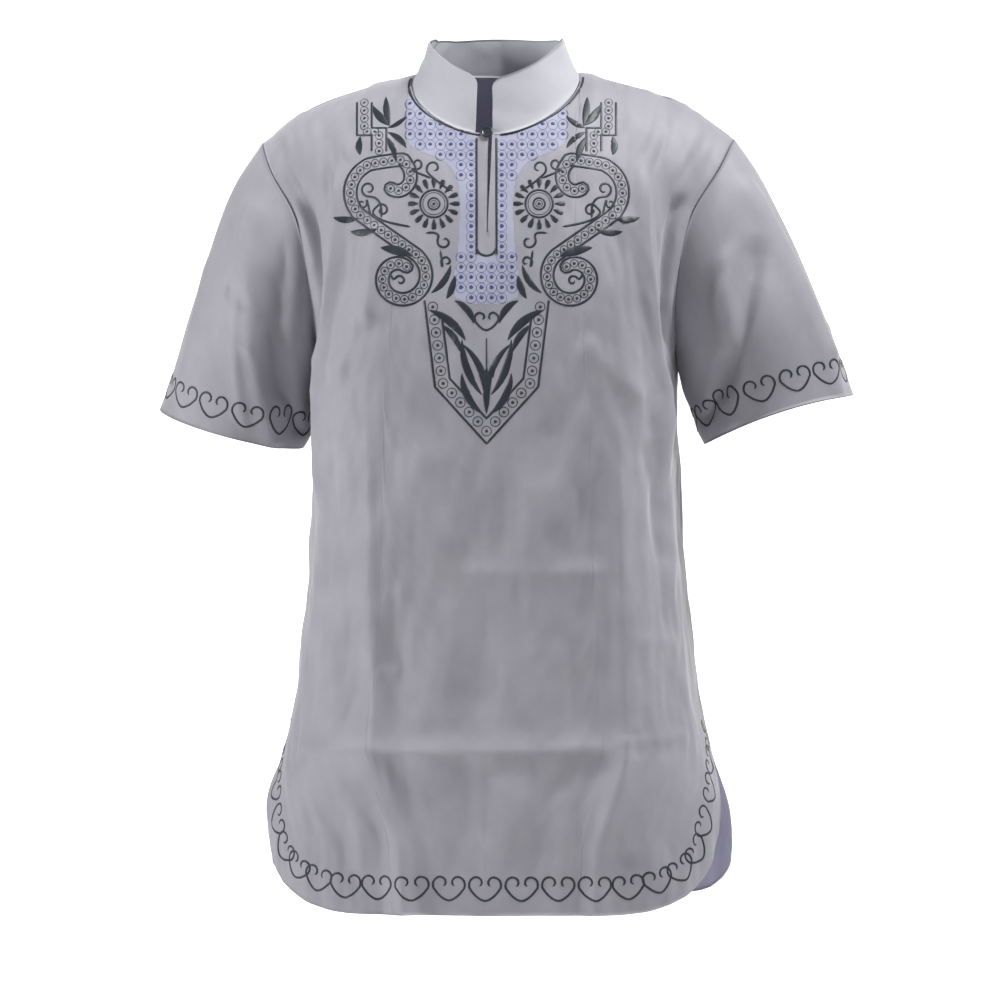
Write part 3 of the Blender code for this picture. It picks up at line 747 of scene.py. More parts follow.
def cloth_material(name, colour, shade, sheen, roughness, weave=0.16):
    """Crisp cotton: a fine weave, an uneven colour, small crumples and a soft pressed sheen."""
    made, tree, shader = blank_material(name)
    shader.inputs["Sheen Weight"].default_value = sheen
    shader.inputs["Sheen Roughness"].default_value = 0.45
    shader.inputs["Specular IOR Level"].default_value = 0.35
    place = node(tree, "ShaderNodeUVMap", uv_map="cloth")

    # The weave, on top of small puckers, on top of larger crumples
    warp, weft = (
        node(tree, "ShaderNodeTexWave", wave_type="BANDS", bands_direction=way, Scale=scale, Distortion=0.6)
        for way, scale in (("X", 780.0), ("Y", 720.0))
    )
    threads = node(tree, "ShaderNodeMath", operation="MAXIMUM")
    small = node(tree, "ShaderNodeBump", Strength=weave, Distance=0.0003)
    puckers = node(tree, "ShaderNodeTexNoise", Scale=55.0, Detail=3.0, Roughness=0.55)
    large = node(tree, "ShaderNodeBump", Strength=0.30, Distance=0.0012)
    bend = node(tree, "ShaderNodeTexNoise", Scale=7.0, Detail=2.0, Roughness=0.5)
    bent = node(tree, "ShaderNodeMixRGB", blend_type="LINEAR_LIGHT", Fac=0.06)
    facets = node(tree, "ShaderNodeTexVoronoi", feature="F1", Scale=13.0)
    crumple = node(tree, "ShaderNodeBump", Strength=0.42, Distance=0.0030)
    wire(
        tree,
        (place, "UV", warp, "Vector"),
        (place, "UV", weft, "Vector"),
        (place, "UV", puckers, "Vector"),
        (place, "UV", bend, "Vector"),
        (place, "UV", bent, "Color1"),
        (bend, "Color", bent, "Color2"),
        (bent, "Color", facets, "Vector"),
        (facets, "Distance", crumple, "Height"),
        (puckers, "Fac", large, "Height"),
        (warp, "Fac", threads, 0),
        (weft, "Fac", threads, 1),
        (threads, "Value", small, "Height"),
        (crumple, "Normal", large, "Normal"),
        (large, "Normal", small, "Normal"),
        (small, "Normal", shader, "Normal"),
    )

    cloud = node(tree, "ShaderNodeTexNoise", Scale=16.0, Detail=4.0, Roughness=0.6)
    spread = node(tree, "ShaderNodeMapRange", From_Min=0.30, From_Max=0.62)
    mix = node(tree, "ShaderNodeMixRGB", blend_type="MIX", Color1=(*shade, 1.0), Color2=(*colour, 1.0))
    slub = node(tree, "ShaderNodeTexNoise", Scale=240.0, Detail=2.0, Roughness=0.5)
    rough = node(tree, "ShaderNodeMapRange", To_Min=roughness - 0.06, To_Max=roughness + 0.06)
    wire(
        tree,
        (place, "UV", cloud, "Vector"),
        (cloud, "Fac", spread, "Value"),
        (spread, "Result", mix, "Fac"),
        (mix, "Color", shader, "Base Color"),
        (place, "UV", slub, "Vector"),
        (slub, "Fac", rough, "Value"),
        (rough, "Result", shader, "Roughness"),
    )
    return made


def thread_material(name, colour, light, roughness, sheen=0.06, scale=900.0):
    """Satin-stitch thread: close fine strands, a shade that varies and a low gloss."""
    made, tree, shader = blank_material(name)
    shader.inputs["Sheen Weight"].default_value = sheen
    place = node(tree, "ShaderNodeTexCoord")
    grain = node(tree, "ShaderNodeTexNoise", Scale=scale, Detail=2.0, Roughness=0.6)
    patch = node(tree, "ShaderNodeTexNoise", Scale=60.0, Detail=2.0, Roughness=0.5)
    mix = node(tree, "ShaderNodeMixRGB", blend_type="MIX", Color1=(*colour, 1.0), Color2=(*light, 1.0))
    rough = node(tree, "ShaderNodeMapRange", To_Min=roughness - 0.08, To_Max=roughness + 0.10)
    bump = node(tree, "ShaderNodeBump", Strength=0.35, Distance=0.0002)
    wire(
        tree,
        (place, "Object", grain, "Vector"),
        (place, "Object", patch, "Vector"),
        (patch, "Fac", mix, "Fac"),
        (mix, "Color", shader, "Base Color"),
        (grain, "Fac", rough, "Value"),
        (rough, "Result", shader, "Roughness"),
        (grain, "Fac", bump, "Height"),
        (bump, "Normal", shader, "Normal"),
    )
    return made


def mesh_object(name, verts, faces, finish, uvs=None):
    """A mesh piece in one body with the shirt, smooth shaded, with its finish."""
    mesh = bpy.data.meshes.new(name)
    mesh.from_pydata([tuple(v) for v in verts], [], faces)
    mesh.validate()
    mesh.shade_smooth()
    if uvs:
        layer = mesh.uv_layers.new(name="cloth")
        for loop in mesh.loops:
            layer.data[loop.index].uv = uvs[loop.vertex_index]
    mesh.materials.append(finish)
    made = bpy.data.objects.new(name, mesh)
    bpy.context.scene.collection.objects.link(made)
    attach(made, "root")
    return made


def grid_normals(rows, closed, outward):
    """The normals of a grid of points, all turned the way that agrees with outward for most of them."""
    tall, wide = len(rows), len(rows[0])
    normals = []
    agree = 0.0
    for i in range(tall):
        line = []
        for j in range(wide):
            left = rows[i][(j - 1) % wide if closed else max(j - 1, 0)]
            right = rows[i][(j + 1) % wide if closed else min(j + 1, wide - 1)]
            down = rows[min(i + 1, tall - 1)][j] - rows[max(i - 1, 0)][j]
            normal = down.cross(right - left).normalized()
            agree += normal.dot(outward(rows[i][j]))
            line.append(normal)
        normals.append(line)
    if agree < 0:
        normals = [[-normal for normal in line] for line in normals]
    return normals, agree > 0


def shell(name, rows, closed, outward, thickness, finishes, skip=lambda i, j: False):
    """A cloth wall: the grid, the grid moved out by the thickness, and a turned edge all round.

    finishes are the outside's and the inside's. skip says which cells are left open.
    """
    tall, wide = len(rows), len(rows[0])
    normals, facing = grid_normals(rows, closed, outward)
    flat = [(i, j) for i in range(tall) for j in range(wide)]
    inner = [rows[i][j] for i, j in flat]
    outer = [rows[i][j] + normals[i][j] * thickness for i, j in flat]
    across, along = cloth_lengths(rows)
    uvs = [(across[i][j], along[i][j]) for i, j in flat] * 2
    count = tall * wide
    spans = wide if closed else wide - 1
    cells = {(i, j) for i in range(tall - 1) for j in range(spans) if not skip(i, j)}
    faces = []
    for i, j in sorted(cells):
        k = (j + 1) % wide
        corners = (i * wide + j, (i + 1) * wide + j, (i + 1) * wide + k, i * wide + k)
        front = corners if facing else corners[::-1]
        faces.append(tuple(c + count for c in front))
        faces.append(tuple(front[::-1]))
        edges = (
            ((i - 1, j), corners[3], corners[0]),
            ((i + 1, j), corners[1], corners[2]),
            ((i, (j - 1) % wide if closed else j - 1), corners[0], corners[1]),
            ((i, k if closed else j + 1), corners[2], corners[3]),
        )
        for neighbour, a, b in edges:
            if neighbour not in cells:
                rim = (a, b, b + count, a + count)
                faces.append(rim[::-1] if facing else rim)
    made = mesh_object(name, inner + outer, faces, finishes[0], uvs)
    made.data.materials.append(finishes[1])
    for face in made.data.polygons:
        if all(corner < count for corner in face.vertices):
            face.material_index = 1
    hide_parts(name)
    return made


def cloth_lengths(rows):
    """Lengths across and down the cloth at each point, for its weave."""
    tall, wide = len(rows), len(rows[0])
    across = []
    for row in rows:
        line = [0.0]
        for j in range(1, wide):
            line.append(line[-1] + (row[j] - row[j - 1]).length)
        centre = line[wide // 2]
        across.append([value - centre for value in line])
    along = [[0.0] * wide]
    for i in range(1, tall):
        along.append([along[-1][j] + (rows[i][j] - rows[i - 1][j]).length for j in range(wide)])
    return across, along


def fine_panel(panel, finishes):
    """The front, with its slit left open, or the back."""
    rows, middle = panel_grid(panel)

    def in_slit(i, j):
        return panel == "front" and j == middle and rows[i + 1][j].z > SLIT_END_Z

    def outward(point):
        return Vector((point.x * OUT_ASIDE, FACES[panel], OUT_UP))

    return shell(panel, rows, False, outward, WALL, finishes, in_slit)


def fine_sleeve(cuff, finishes):
    """A sleeve, and the rows of its inner face."""
    sign = -1.0 if cuff.side == "left" else 1.0
    rows = []
    axis = []
    for i in range(SLEEVE_RINGS + 1):
        down = i / SLEEVE_RINGS
        row = []
        for j in range(SLEEVE_COLUMNS):
            around = j / SLEEVE_COLUMNS
            point = sleeve_point(cuff, around, down)
            low, high = max(down - SLOPE_STEP, 0.0), min(down + SLOPE_STEP, 1.0)
            ahead = sleeve_point(cuff, (around + SLOPE_STEP) % 1.0, down)
            behind = sleeve_point(cuff, (around - SLOPE_STEP) % 1.0, down)
            along = sleeve_point(cuff, around, high) - sleeve_point(cuff, around, low)
            normal = (ahead - behind).cross(along).normalized()
            point = point + normal * sleeve_lift(cuff.side, around, down)
            row.append(Vector((point.x * sign, point.y, point.z)))
        rows.append(row)
        axis.append(sum(row, Vector()) / SLEEVE_COLUMNS)

    def outward(point):
        nearest = min(axis, key=lambda centre: (centre - point).length)
        return point - nearest

    return shell("sleeve_" + cuff.side, rows, True, outward, WALL, finishes), rows


def fine_collar(finishes):
    """The stand collar, its front corners rounded, with soft diagonal pulls near the front."""
    left, right = (math.degrees(math.asin(end / NECK_HALF)) for end in COLLAR_ENDS)
    steps = int((360.0 - right + left) / COLLAR_STEP)
    sweep = [right + (360.0 + left - right) * i / steps for i in range(steps + 1)]
    stops = sorted(set(sweep + [right + n for n in COLLAR_NEAR] + [360.0 + left - n for n in COLLAR_NEAR]))
    drop_share = COLLAR_DROP / COLLAR[0].rise
    rows = []
    for i in range(COLLAR_ROWS + 1):
        row = []
        for turn in stops:
            signed = turn if turn <= 180.0 else turn - 360.0
            from_end = math.radians(min(turn - stops[0], stops[-1] - turn)) * NECK_HALF
            drop = 0.0
            if from_end < COLLAR_CORNER:
                drop = COLLAR_CORNER - math.sqrt(COLLAR_CORNER**2 - (COLLAR_CORNER - from_end) ** 2)
            up = (1 - drop * drop_share) * (1 - i / COLLAR_ROWS)
            point = collar_point(signed, up)
            pull = noise.noise(Vector((signed * PULL_TURN + up * PULL_LEAN, up * PULL_UP, PULL_SEED)))
            row.append(point * (1.0 + COLLAR_PULL * pull * ease(up * PULL_START)))
        rows.append(row)

    def inward(point):
        return Vector((-point.x, -point.y, 0.0))

    return shell("collar", rows, False, inward, COLLAR_WALL, finishes)


class Stitching:
    """Gathers the points and faces of many stitched shapes that become one piece."""

    def __init__(self):
        self.verts = []
        self.faces = []

    def strip(self, samples, profile):
        """Joins cross-sections, given as (place, side, normal, half width, height), into a ridged strip."""
        wide = len(profile)
        start = len(self.verts)
        for place, side, normal, half, height in samples:
            for across, up in profile:
                self.verts.append(place + side * (across * half) + normal * (up * height))
        for i in range(len(samples) - 1):
            for j in range(wide - 1):
                a = start + i * wide + j
                self.faces.append((a, a + 1, a + wide + 1, a + wide))

    def dome(self, place, side, normal, radius, height, steps=KNOT_STEPS):
        """A small round knot of thread."""
        start = len(self.verts)
        ahead = normal.cross(side)
        for share, up in KNOT_RINGS:
            for k in range(steps):
                angle = 2 * math.pi * k / steps
                spot = side * math.cos(angle) + ahead * math.sin(angle)
                self.verts.append(place + spot * (radius * share) + normal * (height * up))
        self.verts.append(place + normal * height)
        for k in range(steps):
            n = (k + 1) % steps
            self.faces.append((start + k, start + n, start + steps + n, start + steps + k))
            self.faces.append((start + steps + k, start + steps + n, start + 2 * steps))

    def piece(self, name, finish):
        """Everything gathered so far, as one piece."""
        return mesh_object(name, self.verts, self.faces, finish)


# Cross-sections of a line of stitches, as (across, up) in half widths and heights
CORD_PROFILE = ((-1.0, -0.1), (-0.72, 0.62), (0.0, 1.0), (0.72, 0.62), (1.0, -0.1))
FINE_PROFILE = ((-1.0, -0.1), (0.0, 1.0), (1.0, -0.1))
BLADE_PROFILE = (
    (-1.0, -0.1), (-0.85, 0.6), (-0.42, 0.92), (0.0, 1.0), (0.42, 0.92), (0.85, 0.6), (1.0, -0.1),
)


def curve_through(points, step, straight=False):
    """Evenly spaced points of a smooth curve through control points, or of straight lines between them."""
    points = [Vector(p) for p in points]
    dense = []
    for i, (a, b) in enumerate(zip(points, points[1:])):
        before = points[i - 1] if i > 0 else a * 2 - b
        after = points[i + 2] if i + 2 < len(points) else b * 2 - a
        pieces = max(2, int((b - a).length / step * DENSER))
        for k in range(pieces):
            f = k / pieces
            if straight:
                dense.append(a + (b - a) * f)
            else:
                dense.append(
                    (a * 2 + (b - before) * f + (before * 2 - a * 5 + b * 4 - after) * f**2
                     + (a * 3 - before - b * 3 + after) * f**3) / 2
                )
    dense.append(points[-1])
    return evenly(dense, step)


def evenly(dense, step):
    """Points at even distances along a dense line, its ends kept."""
    total = sum((b - a).length for a, b in zip(dense, dense[1:]))
    count = max(2, round(total / step))
    gap = total / count
    result, travelled, wanted = [dense[0].copy()], 0.0, gap
    for a, b in zip(dense, dense[1:]):
        length = (b - a).length
        while length > 0 and travelled + length >= wanted - 1e-12 and len(result) < count:
            result.append(a + (b - a) * ((wanted - travelled) / length))
            wanted += gap
        travelled += length
    result.append(dense[-1].copy())
    return result


class Cloth:
    """The front of a piece of cloth, seen by the camera or from just above it, as a place to sew on."""

    def __init__(self, made):
        mesh = made.data
        self.tree = BVHTree.FromPolygons(
            [v.co.copy() for v in mesh.vertices], [tuple(p.vertices) for p in mesh.polygons]
        )

    def seen(self, x, y):
        """The point and normal at a place of the design: millimetres out from its centre line and down."""
        across = (DESIGN_COLUMN - PICTURE / 2) * UNIT + x * MM
        through = TARGET + RIGHT * across + UP * ((PICTURE / 2 - ORIGIN_ROW) * UNIT - y * MM)
        return self.towards(through)

    def towards(self, point):
        """The point and normal of the cloth where the camera sees a point that lies close to it."""
        place, normal, _, _ = self.tree.ray_cast(EYE, (point - EYE).normalized())
        if place is None:
            return None
        return place, (normal if normal.dot(EYE - place) > 0 else -normal)

    def under(self, point, normal):
        """The point of the cloth's outer face under a point beside it."""
        place, found, _, _ = self.tree.ray_cast(point + normal * UNDER_REACH, -normal, UNDER_REACH * 3)
        if place is None:
            return None
        return place, (found if found.dot(normal) > 0 else -found)


def sew_line(
    work, path, half, height=THREAD_HEIGHT, profile=CORD_PROFILE, taper=None, ends=0.0, ridges=RIDGE_WIDTH
):
    """Satin stitches across a path of (place, normal): a domed, finely ridged strip."""
    path = [spot for spot in path if spot is not None]
    last = len(path) - 1
    samples = []
    for i, (place, normal) in enumerate(path):
        ahead = path[min(i + 1, last)][0] - path[max(i - 1, 0)][0]
        if ahead.length < 1e-7:
            continue
        side = normal.cross(ahead).normalized()
        share = taper(i / last) if taper else 1.0
        if ends:
            share *= ease(min(i, last - i) / ends * END_RISE + END_START)
        odd = i % 2
        samples.append((
            place, side, normal,
            half * share * (1 - ridges * odd),
            height * (THIN_HEIGHT + (1 - THIN_HEIGHT) * share) * (1 - RIDGE_DEPTH * odd),
        ))
    if len(samples) > 1:
        work.strip(samples, profile)


def sew_curve(work, cloth, points, half, straight=False, mirror=True, **form):
    """A cord along a curve of the design, and its mirror image."""
    for sign in ((1, -1) if mirror else (1,)):
        line = curve_through([(x * sign, y) for x, y in points], STITCH / MM, straight=straight)
        sew_line(work, [cloth.seen(*p) for p in line], half, **form)


def leaf_width(share):
    """The width of a leaf along its length: pointed at both ends and widest in the middle."""
    return max(math.sin(math.pi * min(max(share, 0.0), 1.0)), 0.0) ** LEAF_POWER


def sew_leaf(work, cloth, leaf, mirror=True):
    """A satin-stitched leaf, and its mirror image."""
    for sign in ((1, -1) if mirror else (1,)):
        line = curve_through([(p.x * sign, p.y) for p in leaf_points(leaf)], STITCH / MM)
        path = [cloth.seen(*p) for p in line]
        sew_line(work, path, leaf.width * MM / 2, LEAF_HEIGHT, BLADE_PROFILE, taper=leaf_width)


def sew_ring(work, cloth, x, y, radius, half, height=FINE_HEIGHT, profile=FINE_PROFILE, steps=RING_STEPS):
    """A stitched ring of the design."""
    path = []
    for k in range(steps + 1):
        angle = 2 * math.pi * k / steps
        path.append(cloth.seen(x + radius * math.cos(angle), y + radius * math.sin(angle)))
    sew_line(work, path, half, height, profile)


def sew_knot(work, cloth, x, y, radius):
    """A knot of thread at a place of the design."""
    spot = cloth.seen(x, y)
    if spot:
        place, normal = spot
        work.dome(place, normal.cross(UP).normalized(), normal, radius * MM, KNOT_HEIGHT)


def design_place(point):
    """Where the camera sees a point, in the design's millimetres."""
    ray = point - EYE
    seen = EYE + ray * (CAMERA_DISTANCE / ray.dot(AHEAD)) - TARGET
    x = seen.dot(RIGHT) - (DESIGN_COLUMN - PICTURE / 2) * UNIT
    return x / MM, ((PICTURE / 2 - ORIGIN_ROW) * UNIT - seen.dot(UP)) / MM


# The neck design in millimetres: x out from its centre line, y below the origin. Each motif is drawn by
# rule from its own sizes, for one half, and repeated as its mirror image. Angles are in degrees: 0 points
# outward and 90 points down.
CORD_HALF = 0.00125
CURL_HALF = 0.00125
FINE_HALF = 0.00050
RING_RADIUS = 3.6
DOT_RADIUS = 1.6
LINE_STEP = 1.0

# The scroll band: a spiral at each end and a bow between them
Spiral = namedtuple("Spiral", "x y from_radius to_radius from_angle to_angle")
BAND_PARTS = (
    Spiral(88.0, 85.0, 9.0, 20.0, 70.0, 250.0),
    Spiral(101.0, 98.0, 29.0, 28.0, 285.0, 412.0),
    Spiral(82.0, 178.0, 27.0, 12.0, 245.0, -120.0),
)
BAND_HALF_WIDTH = 6.0
BAND_PITCH = 8.0
BAND_STEP = 1.5
SPIRAL_STEP = 15.0

# Small curls: a spiral that runs out into a tail
Curl = namedtuple("Curl", "x y radius from_angle turn tail_x tail_y")
CURLS = (
    Curl(112.0, 94.0, 7.5, 60.0, 400.0, 100.0, 122.0),
    Curl(99.0, 114.0, 6.0, 300.0, 380.0, 72.0, 130.0),
    Curl(118.0, 108.0, 4.5, 200.0, 360.0, 110.0, 120.0),
    Curl(50.0, 74.0, 7.5, 90.0, 330.0, 32.0, 96.0),
    Curl(66.0, 70.0, 5.5, 40.0, -330.0, 52.0, 84.0),
    Curl(40.0, 144.0, 7.0, 300.0, -330.0, 58.0, 136.0),
    Curl(38.0, 163.0, 5.5, 60.0, 330.0, 44.0, 152.0),
    Curl(82.0, 181.0, 5.0, 0.0, 330.0, 92.0, 172.0),
)
CURL_EYE_SHARE = 0.32
CURL_SWEEP = 0.55
TAIL_STEPS = 5
CURL_ENDS = 6.0

# Leaves: arcs that set out at an angle and bend by a number of degrees
Leaf = namedtuple("Leaf", "x y heading length width bend")
LEAVES = (
    Leaf(122.0, 122.0, 15.0, 24.0, 7.0, -35.0),
    Leaf(104.0, 132.0, 25.0, 26.0, 8.0, -40.0),
    Leaf(70.0, 158.0, -25.0, 32.0, 9.5, 20.0),
    Leaf(120.0, 44.0, 75.0, 18.0, 7.5, 30.0),
    Leaf(92.0, 34.0, -75.0, 28.0, 7.0, -15.0),
    Leaf(92.0, 34.0, -35.0, 26.0, 8.0, -30.0),
    Leaf(94.0, 36.0, 195.0, 22.0, 6.5, 35.0),
    Leaf(94.0, 40.0, 160.0, 24.0, 6.5, -40.0),
    Leaf(96.0, 44.0, 130.0, 26.0, 7.0, -35.0),
    Leaf(34.0, 166.0, 80.0, 34.0, 6.5, -50.0),
    Leaf(30.0, 176.0, 85.0, 24.0, 7.0, -30.0),
    Leaf(12.0, 222.0, -80.0, 30.0, 7.0, 60.0),
    Leaf(20.0, 238.0, -62.0, 46.0, 8.5, 44.0),
    Leaf(24.0, 250.0, -75.0, 34.0, 6.5, 40.0),
    Leaf(2.0, 300.0, -100.0, 66.0, 7.0, 60.0),
    Leaf(4.0, 290.0, -50.0, 58.0, 7.5, -40.0),
    Leaf(3.0, 308.0, -35.0, 46.0, 7.5, -55.0),
)
CENTRE_LEAF = Leaf(0.0, 308.0, -90.0, 46.0, 7.0, 0.0)
LEAF_STEPS = 8
LEAF_POWER = 0.75

# Sun flowers
FLOWER_X, FLOWER_Y = 50.0, 108.0
FlowerRing = namedtuple("FlowerRing", "radius half_width")
FLOWER_RINGS = (FlowerRing(13.0, 1.10), FlowerRing(10.5, 0.45), FlowerRing(5.5, 0.95), FlowerRing(3.2, 0.40))
THICK_RING = 0.9
PETALS = 16
PETAL_WIDTH = 5.0
PETAL_FROM = 15.0
PETAL_TO = 24.5

# A petal's width at its foot, where it is widest and where it starts to round off, along its length
PETAL_FOOT = 0.35
PETAL_WIDEST = 0.55
PETAL_ROUND_FROM, PETAL_ROUND = 0.80, 0.24

# The stepped key on each shoulder
KEY_OUT, KEY_IN, KEY_STEP = 123.0, 109.0, 14.0
KEY_TOP, KEY_TURN, KEY_END = 12.0, 36.0, 58.0
KEY_PITCH = 7.5

# The pendant: its outer and inner lines by half width at the top, at the bend and at the tip
Pendant = namedtuple("Pendant", "top_x top_y bend_x bend_y tip_y")
PENDANT_OUTER = Pendant(59.0, 200.0, 49.0, 282.0, 336.0)
PENDANT_MIDDLE = Pendant(51.0, 206.0, 42.0, 278.0, 324.0)
PENDANT_INNER = Pendant(43.0, 212.0, 35.0, 274.0, 312.0)
PENDANT_PITCH = 12.0
PENDANT_RING = 4.6
STEM = ((0.0, 236.0), (0.0, 264.0))
STEM_HALF = FINE_HALF * 1.3
CREST_Y, CREST_SIZE, CREST_ENDS = 228.0, 0.85, 5.0

# The cord round the slit
SLIT_CORD_HALF = 9.5
SLIT_CORD_TOP, SLIT_CORD_LOW = 46.0, 148.0
SLIT_CORD_STEPS = 12
SLIT_CORD_THICK = CORD_HALF * 1.1

# The cord along the neckline: how far outside it lies, how steeply it is led down, and its turns
NECK_CORD_OUT = 0.0026
NECK_CORD_DROP = 0.4
NECK_CORD_TURNS = (7.0, 86.0)

# The fish-scale filling: half widths of its field at places down from the origin
Reach = namedtuple("Reach", "y half_width")
SCALE_FIELD = (
    Reach(6.0, 76.0), Reach(16.0, 86.0), Reach(30.0, 82.0), Reach(54.0, 70.0), Reach(68.0, 40.0),
    Reach(90.0, 27.0), Reach(150.0, 27.0), Reach(196.0, 30.0), Reach(204.0, 12.0),
)
SCALE_PITCH = 9.7
SCALE_FIRST_X = 14.5
SCALE_FIRST_ROW = 0.4
SCALE_RADIUS = 4.7
SCALE_DOT = 2.1
SCALE_DOT_UP = 1.0
SCALE_EDGE = 3.2
GROUND_STEP = 1.05
NECK_SAMPLES = 90


def spiral_points(spiral):
    """Points round a spiral, one for each step of its turn."""
    turn = spiral.to_angle - spiral.from_angle
    count = int(abs(turn) / SPIRAL_STEP)
    points = []
    for k in range(count + 1):
        share = k / count
        radius = spiral.from_radius + (spiral.to_radius - spiral.from_radius) * share
        angle = math.radians(spiral.from_angle + turn * share)
        points.append(Vector((spiral.x + radius * math.cos(angle), spiral.y + radius * math.sin(angle))))
    return points


def scroll_band(work, cloth, sign):
    """The S-shaped band: a cord along both sides, closed at the ends, with ringed dots between."""
    route = [point for part in BAND_PARTS for point in spiral_points(part)]
    middle = curve_through(route, BAND_STEP)
    sides = ([], [])
    for i, spot in enumerate(middle):
        ahead = middle[min(i + 1, len(middle) - 1)] - middle[max(i - 1, 0)]
        across = Vector((-ahead.y, ahead.x)).normalized() * BAND_HALF_WIDTH
        sides[0].append(spot + across)
        sides[1].append(spot - across)
    outline = sides[0] + end_cap(middle[-1], middle[-2]) + sides[1][::-1] + end_cap(middle[0], middle[1])
    line = evenly([Vector((p.x * sign, p.y)) for p in outline + outline[:1]], STITCH / MM)
    sew_line(work, [cloth.seen(*p) for p in line], CORD_HALF)
    for spot in evenly(middle, BAND_PITCH):
        ringed_dot(work, cloth, spot.x * sign, spot.y, RING_RADIUS)


def end_cap(tip, inner):
    """The middle of the half circle round one end of the band."""
    out = math.atan2(tip.y - inner.y, tip.x - inner.x)
    angles = [out + math.pi * turn for turn in (0.25, 0.0, -0.25)]
    return [tip + Vector((math.cos(angle), math.sin(angle))) * BAND_HALF_WIDTH for angle in angles]


def curl_points(curl):
    """A curl from its eye outward, and its tail."""
    end = curl.from_angle + curl.turn
    spiral = spiral_points(
        Spiral(curl.x, curl.y, curl.radius * CURL_EYE_SHARE, curl.radius, curl.from_angle, end)
    )
    rim, tail = spiral[-1], Vector((curl.tail_x, curl.tail_y))
    way = (rim - spiral[-2]).normalized() * ((tail - rim).length * CURL_SWEEP)
    for k in range(1, TAIL_STEPS + 1):
        f = k / TAIL_STEPS
        spiral.append(rim * (1 - f) ** 2 + (rim + way) * (2 * f * (1 - f)) + tail * f**2)
    return spiral


def leaf_points(leaf):
    """The bent middle line of a leaf."""
    spot = Vector((leaf.x, leaf.y))
    points = [spot.copy()]
    for k in range(LEAF_STEPS):
        angle = math.radians(leaf.heading + leaf.bend * (k + 0.5) / LEAF_STEPS)
        spot = spot + Vector((math.cos(angle), math.sin(angle))) * (leaf.length / LEAF_STEPS)
        points.append(spot)
    return points


def key_line(out):
    """A stepped line of the shoulder key, its upper stretch at a distance from the centre line."""
    turn = KEY_TURN + (out - KEY_IN) / 2
    return [
        Vector((out, KEY_TOP)), Vector((out, turn)), Vector((out - KEY_STEP, turn)),
        Vector((out - KEY_STEP, KEY_END)),
    ]


def pendant_line(form):
    """One line of the pendant, from its top on one side round the tip to the other."""
    half = [(form.top_x, form.top_y), (form.bend_x, form.bend_y)]
    return [Vector((-x, y)) for x, y in half] + [Vector((0.0, form.tip_y))] + [Vector(p) for p in half[::-1]]


def slit_line():
    """The cord's way down one side of the slit, round its end and up the other side."""
    ends = [Vector((side * SLIT_CORD_HALF, SLIT_CORD_TOP)) for side in (-1, 1)]
    turns = [math.pi * (1 - k / SLIT_CORD_STEPS) for k in range(SLIT_CORD_STEPS + 1)]
    low = [Vector((math.cos(a), math.sin(a))) * SLIT_CORD_HALF + Vector((0.0, SLIT_CORD_LOW)) for a in turns]
    return [ends[0]] + low + [ends[1]]


def ringed_dot(work, cloth, x, y, radius):
    """A knot in a fine ring."""
    sew_ring(work, cloth, x, y, radius, FINE_HALF)
    sew_knot(work, cloth, x, y, DOT_RADIUS)


def sunflower(work, cloth, sign):
    """A flower of rings with satin petals."""
    x, y = FLOWER_X * sign, FLOWER_Y
    for ring in FLOWER_RINGS:
        thick = ring.half_width > THICK_RING
        profile = CORD_PROFILE if thick else FINE_PROFILE
        height = THREAD_HEIGHT if thick else FINE_HEIGHT
        sew_ring(work, cloth, x, y, ring.radius, ring.half_width * MM, height, profile, FLOWER_STEPS)
    sew_knot(work, cloth, x, y, DOT_RADIUS)
    for k in range(PETALS):
        angle = 2 * math.pi * k / PETALS
        ends = [
            Vector((x + reach * math.cos(angle), y + reach * math.sin(angle)))
            for reach in (PETAL_FROM, PETAL_TO)
        ]
        line = curve_through(ends, STITCH / MM, straight=True)
        path = [cloth.seen(*p) for p in line]
        sew_line(work, path, PETAL_WIDTH * MM / 2, THREAD_HEIGHT, BLADE_PROFILE, taper=petal_width)


def petal_width(share):
    """Narrow where it meets the ring and blunt at its outer end."""
    rise = PETAL_FOOT + (1 - PETAL_FOOT) * ease(share / PETAL_WIDEST)
    past = max((share - PETAL_ROUND_FROM) / PETAL_ROUND, 0.0)
    return rise * math.sqrt(max(1 - past**2, 0.0))


def neck_cord(work, cloth):
    """The cord that follows the neckline just outside the collar, on both sides of the slit."""
    first, last = NECK_CORD_TURNS
    for sign in (1, -1):
        beside = []
        for turn in range(int(first), int(last) + 1):
            base = neck_point(float(turn))
            out = Vector((base.x, base.y, -NECK_CORD_DROP * math.hypot(base.x, base.y))).normalized()
            spot = base + out * NECK_CORD_OUT
            beside.append(Vector((spot.x * sign, spot.y, spot.z)))
        sew_line(work, [cloth.towards(spot) for spot in evenly(beside, STITCH)], CORD_HALF)


